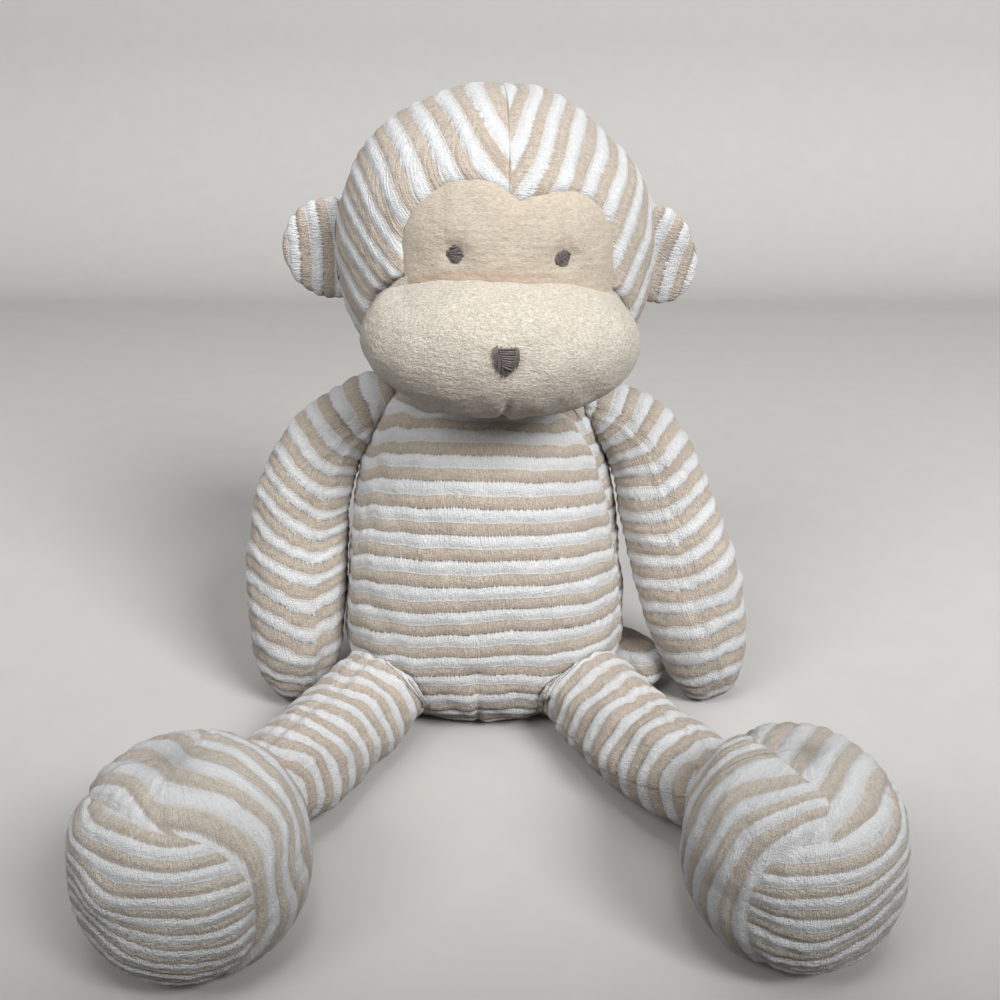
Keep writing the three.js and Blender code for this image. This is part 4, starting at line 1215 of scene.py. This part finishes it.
def leg(name, sign, hip, ankle, forward, spread, foot_form, turns, runs, seed):
    """One leg: line (sign * (hip + ankle * share), 4 - (forward + 4) * share, 16.5 + 10 * share).

    turns and runs are the table of its bands, with turns in degrees about the line, 90 on top.
    """
    s, f, r = (np.array(v) for v in (spread, LEG_FORWARD, LEG_RISE))
    line = np.stack([sign * (hip + ankle * s), 4 - (forward + 4) * f, 16.5 + 10 * r], axis=1)
    form = Form(line, (1, 0, 0), 18.2, 17, 4, LEG_RADIUS)

    def off(turn):
        """Millimetres from the upright plane through the leg's line, positive on the outer side."""
        return LEG_ROUND * np.cos(turn) * sign

    def seam_weight(points, turn, u):
        return bell(off(turn), 4.0)

    def gather(points, turn, u):
        """Both ends drawn clear of what they are sewn to."""
        points = torso_form.slide_out(points, unit(np.array([sign * 0.35, -0.93, 0.0])), lambda p: 0.8)
        return foot_form.slide_out(points, unit(line[3] - line[5]), lambda p: 0.8)

    points, squares, turn, u = stuffed(name, form, 9, 34, 0.12, seam_weight, shrink=0.14, before=gather)
    bands = counted(turns, runs, 5.5, 1.0)
    place = (np.degrees((turn + pi / 2) % (2 * pi) - pi / 2), u * form.skin_length)
    crumple = 0.5 * wavy(points, 16, seed + 5) * ramp(-points[:, 1], 20, 45)
    obj = sew(name, [f"{name}_outer_panel", f"{name}_inner_panel", f"{name}_stuffing"], points, squares,
              (bands(*place),) * 3, (pace(bands, *place),) * 3, off(turn), turn * LEG_ROUND, seed=seed,
              extra=crumple, scallop=1.5, uneven=0.25, pucker=0.4)
    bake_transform(obj)


leg(
    "leg_left", -1, 19, 54, 107, [0, 0.27, 0.51, 0.7, 0.85, 1], foot_left_form, (20, 40, 60, 80, 100, 120),
    [(57, 66, 73.5, 83, 91, 102, 113, 121, 129), (57, 65, 75, 82.5, 93, 104, 113, 123, 131),
     (59, 66, 74.5, 84, 95, 105, 116, 126, 134), (61, 68, 75.5, 86, 96, 106, 118, 127, 134),
     (62, 68.5, 75, 86, 94, 103.5, 115.5, 125, 133), (59, 66, 75, 84, 91, 101, 113, 122, 130)], 101)
leg(
    "leg_right", 1, 17, 61, 105, [0, 0.25, 0.47, 0.64, 0.82, 1], foot_right_form,
    (60, 80, 100, 120, 140, 160),
    [(49, 59, 68, 77.5, 89, 102, 115.5, 126, 137), (52, 60.5, 71, 80, 92, 105, 117, 129, 138.5),
     (53, 63.5, 74, 84, 96, 108, 118, 128.5, 139), (54.5, 65, 75, 85, 96, 107.5, 119.5, 130, 140),
     (55, 63.5, 74.5, 85.5, 96.5, 107, 118, 127.5, 138.5), (55, 64, 74, 85.5, 96.5, 107, 117.5, 127, 138)],
    105)
for obj in (foot_left, foot_right):
    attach(obj, obj.name)

# %% [markdown]
# ## Ears
#
# A flat ear of two panels, filled thinly and cupped a little at the front. So thin a piece would crease
# at random as cloth, so it keeps its form.

# %% Ears
EAR_END = 73.0  # how far the ear's rim is from the head's middle
EAR_Z = -3.6  # how high the ear's middle line is, in the head's frame


def ear(name, sign, lean, first_white, period, tilt, seed):
    """One ear in the head's frame: a flat form from the head's side outwards."""
    line = [[sign * 40.4, 4, EAR_Z], [sign * 51, 5, EAR_Z], [sign * 62, 6, EAR_Z], [sign * EAR_END, 7, EAR_Z]]
    form = Form(line, (0, 0, 1), 17, 4.6, 2.0, [0.9, 1, 1, 0.98])
    turn, u, squares = quilt(9, 16, 0.2)
    points = form.points(turn, u)
    points, squares, turn, u = finer(name, points, squares, direction(turn, u))
    points = head_form.slide_out(points, np.array([sign * 1.0, 0.0, 0.0]), lambda p: 0.6)
    out_way = sign * points[:, 0]
    phase = -((EAR_END - out_way + lean * points[:, 2] + 0.006 * points[:, 2] ** 2) - first_white) / period
    middle = bell(np.hypot((out_way - 60) / 1.2, points[:, 2] - EAR_Z), 9)
    cupped = points.copy()
    cupped[:, 1] += 2.2 * middle * np.where(np.sin(turn) * sign > 0, 1, -0.6)
    cupped[:, 2] += tilt * (2.0 - 0.25 * (out_way - 58))
    none, speed = np.full(len(points), -FAR), np.full(len(points), 1 / 9.0)
    obj = sew(name, [f"{name}_front_panel", f"{name}_back_panel"], from_head(cupped), squares,
              (phase,) * 3, (speed,) * 3, none, points[:, 2], seed=seed, uneven=0.15, pucker=0.0)
    inner, outer = from_head(np.array([[sign * 50.5, 4, EAR_Z], [sign * 57, 5, EAR_Z]]))
    tuple(inner * MM)
    tuple(outer * MM)
    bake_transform(obj)


ear("ear_left", -1, 0.12, 3.5, 8.1, 0.0, 111)
ear("ear_right", 1, 0.31, 8.3, 8.6, 1.0, 115)

# %% [markdown]
# ## Tail
#
# The tail comes from the torso's back, lies on the table and bends round to the viewer's right. It is
# cut lengthwise from the cloth, so its bands run along it, and a plane's height gives their phase.

# %% Tail
spread, back = np.array([0, 0.36, 0.66, 0.82, 1]), np.array([0, 0.06, 0.42, 0.7, 1])
swell = np.array([0.05, 0, 0, 0.35, 1])
line = np.stack([4 + 66.5 * spread, 36 - 43 * back, 8.5 + 3 * swell], axis=1)
tail_form = Form(line, (0, 0, 1), 12, 12, 3.2, [0.76, 0.75, 0.75, 0.84, 1, 1])
points, squares, turn, u = stuffed("tail", tail_form, 6, 26, 0.1, lambda p, t, v: bell(np.sin(t) * 10, 3),
                                   before=lambda p, t, v: torso_form.push_out(p, 1.0))
phase = (21.5 - points[:, 2] - 0.15 * points[:, 1] + 0.06 * points[:, 0]) / 9.0
speed = np.full(len(points), 1 / BAND_PAIR)
tail = sew("tail", ["tail_outer_panel", "tail_inner_panel", "tail_stuffing"], points, squares, (phase,) * 3,
           (speed,) * 3, np.cos(turn) * 10, u * tail_form.skin_length, seed=121, uneven=0.3)
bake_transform(tail)

# %% [markdown]
# ## Satin stitches
#
# Short threads laid side by side, each a thin tube that bows over the padding. A bump in a flat patch
# would lack the ragged outline that the single threads give.

# %% Satin stitches
def stitches(starts, ends, lift, radius, sides=6, steps=10):
    """Thin tubes from starts to ends. Each rises by lift * sqrt(1 - t * t) towards the viewer."""
    t = np.linspace(-1, 1, steps)
    bow = np.sqrt(np.clip(1 - t ** 2, 0, 1))
    half = (ends - starts) / 2
    line = ((starts + ends) / 2)[:, None] + half[:, None] * t[:, None]
    line[..., 1] -= lift[:, None] * bow
    way = unit(half)
    side = unit(np.cross(way, [0, 1, 0]))
    up = np.cross(side, way)
    angle = np.arange(sides) * 2 * pi / sides
    thick = radius * np.sqrt(np.clip(1.02 - t ** 4, 0.02, 1))
    ring = side[:, None, None] * np.cos(angle)[:, None] + up[:, None, None] * np.sin(angle)[:, None]
    points = line[:, :, None] + ring * thick[:, None, None]
    n = len(starts)
    base = (np.arange(n) * steps * sides)[:, None, None]
    i = (np.arange(steps - 1) * sides)[:, None]
    k = np.arange(sides)
    a = base + i + k
    b = base + i + (k + 1) % sides
    squares = np.stack([a, b, b + sides, a + sides], axis=-1).reshape(-1, 4)
    tips = np.stack([line[:, 0], line[:, -1]], axis=1).reshape(-1, 3)
    tip = n * steps * sides + 2 * np.arange(n)[:, None] + 0 * k
    first = base[:, 0] + k
    last = first + (steps - 1) * sides
    caps = [np.stack([tip, np.roll(first, -1, 1), first], axis=-1),
            np.stack([tip + 1, last, np.roll(last, -1, 1)], axis=-1)]
    return np.concatenate([points.reshape(-1, 3), tips]), squares, np.concatenate(caps).reshape(-1, 3)


def embroider(name, starts, ends, lift, radius):
    """Stitches between points of the head's frame, shown in place of the solid of that name."""
    points, *faces = stitches(starts, ends, lift, radius)
    obj = piece(name + "_stitches", from_head(points), faces, thread, [name])
    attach(obj, "head")

# %% [markdown]
# ## Eyes
#
# Two layers of stitches cross a small disc at different angles, as an embroidery machine lays them.

# %% Eyes
def chords(middle_x, middle_z, radius, count, lean, seed):
    """Ends of stitches that cross a disc, side by side with a little of each other's direction."""
    rng = np.random.default_rng(seed)
    rows = np.linspace(-0.93, 0.93, count) * radius
    half = np.sqrt(radius ** 2 - rows ** 2) + rng.uniform(-0.3, 0.35, count)
    way = lean + rng.uniform(-0.32, 0.32, count)
    along_x, along_z = np.cos(way) * half, np.sin(way) * half
    x, z = middle_x - np.sin(lean) * rows, middle_z + np.cos(lean) * rows
    return x - along_x, z - along_z, x + along_x, z + along_z


UNDER, OVER = 15, 13  # stitches in each layer
for name, (ex, ez), lean, seed in zip(("eye_left", "eye_right"), EYES, (0.15, 2.2), (3, 4)):
    under = chords(ex, ez, 2.6, UNDER, lean + 1.3, seed)
    over = chords(ex, ez, 2.55, OVER, lean, seed + 10)
    x0, z0, x1, z1 = (np.concatenate(pair) for pair in zip(under, over))
    starts = np.stack([x0, head_front(x0, z0) - 0.1, z0], axis=1)
    ends = np.stack([x1, head_front(x1, z1) - 0.1, z1], axis=1)
    uneven = np.random.default_rng(seed + 20).uniform(-0.25, 0.25, UNDER + OVER)
    lift = np.repeat([0.5, 0.9], (UNDER, OVER)) + uneven
    embroider(name, starts, ends, lift, 0.27)

# %% [markdown]
# ## Nose
#
# Upright stitches fill a shield, and a few slanted ones lie across its left half.

# %% Nose
def muzzle_front(z):
    """The y of the muzzle's front skin in its middle plane."""
    a = np.abs(np.clip((z - MUZZLE_Z) / muzzle_form.deep, -1, 1))
    reach = (1 - a ** muzzle_form.fullness) ** (1 / muzzle_form.fullness)
    return MUZZLE_BACK - (MUZZLE_BACK - MUZZLE_TIP) / 2 * (1 + reach) - 0.3


NOSE_X, UPRIGHT, SLANTED = -1.3, 20, 9
rng = np.random.default_rng(9)
x = np.linspace(-3.7, 3.7, UPRIGHT)
low = -16.9 - 8.8 * np.sqrt(1 - (x / 4.0) ** 2) ** 0.75 + rng.uniform(-0.25, 0.25, UPRIGHT)
high = -16.7 - 0.5 * bell(x + 0.8, 1.2) + rng.uniform(-0.35, 0.35, UPRIGHT)
lean = rng.uniform(-0.5, 0.5, UPRIGHT)
row = np.linspace(0, 1, SLANTED)
x0 = np.concatenate([x + lean, -3.4 + 1.6 * row])
z0 = np.concatenate([high, -17.4 - 4.5 * row])
x1 = np.concatenate([x * 0.95 - lean, 3.4 - 0.9 * row])
z1 = np.concatenate([low, -17.0 - 6.4 * row]) + rng.uniform(-0.25, 0.25, UPRIGHT + SLANTED)
starts = np.stack([x0 + NOSE_X, muzzle_front(z0), z0], axis=1)
ends = np.stack([x1 + NOSE_X, muzzle_front(z1), z1], axis=1)
lift = np.concatenate([0.8 + rng.uniform(-0.25, 0.25, UPRIGHT), 1.15 + rng.uniform(-0.2, 0.2, SLANTED)])
embroider("nose", starts, ends, lift, 0.3)

# %% [markdown]
# ## Table and wall
#
# A pale table runs up into a pale wall in a wide curve, so that no edge shows behind the toy. It looks
# pale to the camera only, and throws back less light than it seems to, which keeps the undersides dark.

# %% Table and wall
def backdrop():
    """A floor that bends up into a wall: a quarter circle of 250 mm between them."""
    s = np.linspace(0, pi / 2, 24)
    y = np.concatenate([[-2500], 700 + 250 * np.sin(s), [950]])
    z = np.concatenate([[0], 250 - 250 * np.cos(s), [2500]])
    x = np.linspace(-2500, 2500, 3)
    points = np.stack([np.repeat(x, len(y)), np.tile(y, 3), np.tile(z, 3)], axis=1)
    rows = len(y)
    i, j = np.meshgrid(np.arange(2), np.arange(rows - 1), indexing="ij")
    a = i * rows + j
    squares = np.stack([a, a + rows, a + rows + 1, a + 1], axis=-1).reshape(-1, 4)
    return make_object("backdrop", make_mesh("backdrop", points, [squares]))


floor = backdrop()
g = Graph("pale table")
grain = g.noise(60.0, 3.0)
base = g.mix((grain * 0.6 + 0.5).clipped(), colour(206, 204, 201), colour(216, 214, 211))
seen = Value(g, g.node("ShaderNodeLightPath").outputs["Is Camera Ray"])
base = g.mix(seen, colour(96, 92, 88), base)
floor.data.materials.append(g.finish(base, grain * 0.1 + 0.75, g.bump(grain, 0.0005, 0.2), {}))

# %% [markdown]
# ## Lamps
#
# A wide soft lamp stands high on the right and a weaker one on the left, so the folds show without hard
# shadows. A narrow one lights the tops of the feet. A dark card above the near edge, which the camera
# doesn't see, keeps the light off the soles, as the room does in the photograph.

# %% Lamps
def lamp(name, kind, place, aim, power, **settings):
    """A lamp at a place that looks at a point, both in metres."""
    light = bpy.data.lights.new(name, kind)
    light.energy = power
    for key, value in settings.items():
        setattr(light, key, value)
    obj = make_object(name, light)
    obj.location = place
    obj.rotation_euler = (Vector(aim) - Vector(place)).to_track_quat("-Z", "Y").to_euler()


lamp("key lamp", "AREA", (1.05, -1.35, 1.4), (0, -0.02, 0.1), 46.0, shape="DISK", size=0.9)
lamp("fill lamp", "AREA", (-0.9, -1.2, 1.3), (0, -0.02, 0.1), 15.0, shape="DISK", size=1.0)
lamp("top lamp", "AREA", (0.1, -0.02, 1.3), (0, -0.05, 0.1), 1.5, shape="DISK", size=0.7)
lamp("foot lamp", "SPOT", (0.005, -0.5, 1.0), (0.005, -0.1281, 0), 6.0, shadow_soft_size=0.12,
     spot_size=radians(19), spot_blend=0.6)
print("lamps:", len(bpy.data.lights))

# %% [markdown]
# ## Shade card and room
#
# The card is a plain square of dark board. The room's even light fills the shadows.

# %% Shade card and room
card_corners = np.array([[-450, -900, 300], [450, -900, 300], [450, -376, 300], [-450, -376, 300]])
card = make_object("shade card", make_mesh("shade card", card_corners, [np.array([[0, 1, 2, 3]])]))
g = Graph("dark card")
fleck = g.noise(50.0)
base = g.mix(fleck + 0.5, colour(60, 60, 60), colour(70, 70, 70))
card.data.materials.append(g.finish(base, fleck * 0.1 + 0.9, g.bump(fleck, 0.001, 0.1), {}))
card.visible_camera = False
world = bpy.data.worlds.new("room")
bpy.context.scene.world = world
world.use_nodes = True
background = world.node_tree.nodes["Background"].inputs
background[0].default_value = (1, 1, 1, 1)
background[1].default_value = 0.22

# %% [markdown]
# ## Camera
#
# It stands where the photographer's stood: 36 cm in front of the toy and 24 cm up, looking 23 degrees
# down. Its angle of view is the one at which the seat, the hands and the feet all meet the table.

# %% Camera
camera_data = bpy.data.cameras.new("camera")
camera_data.sensor_width = 36
camera_data.lens = 37.8
camera = make_object("camera", camera_data)
camera.location = (0.006, -0.363, 0.239)
camera.rotation_euler = (radians(66.7), 0, 0)
bpy.context.scene.camera = camera
bpy.context.scene.view_settings.view_transform = "Standard"
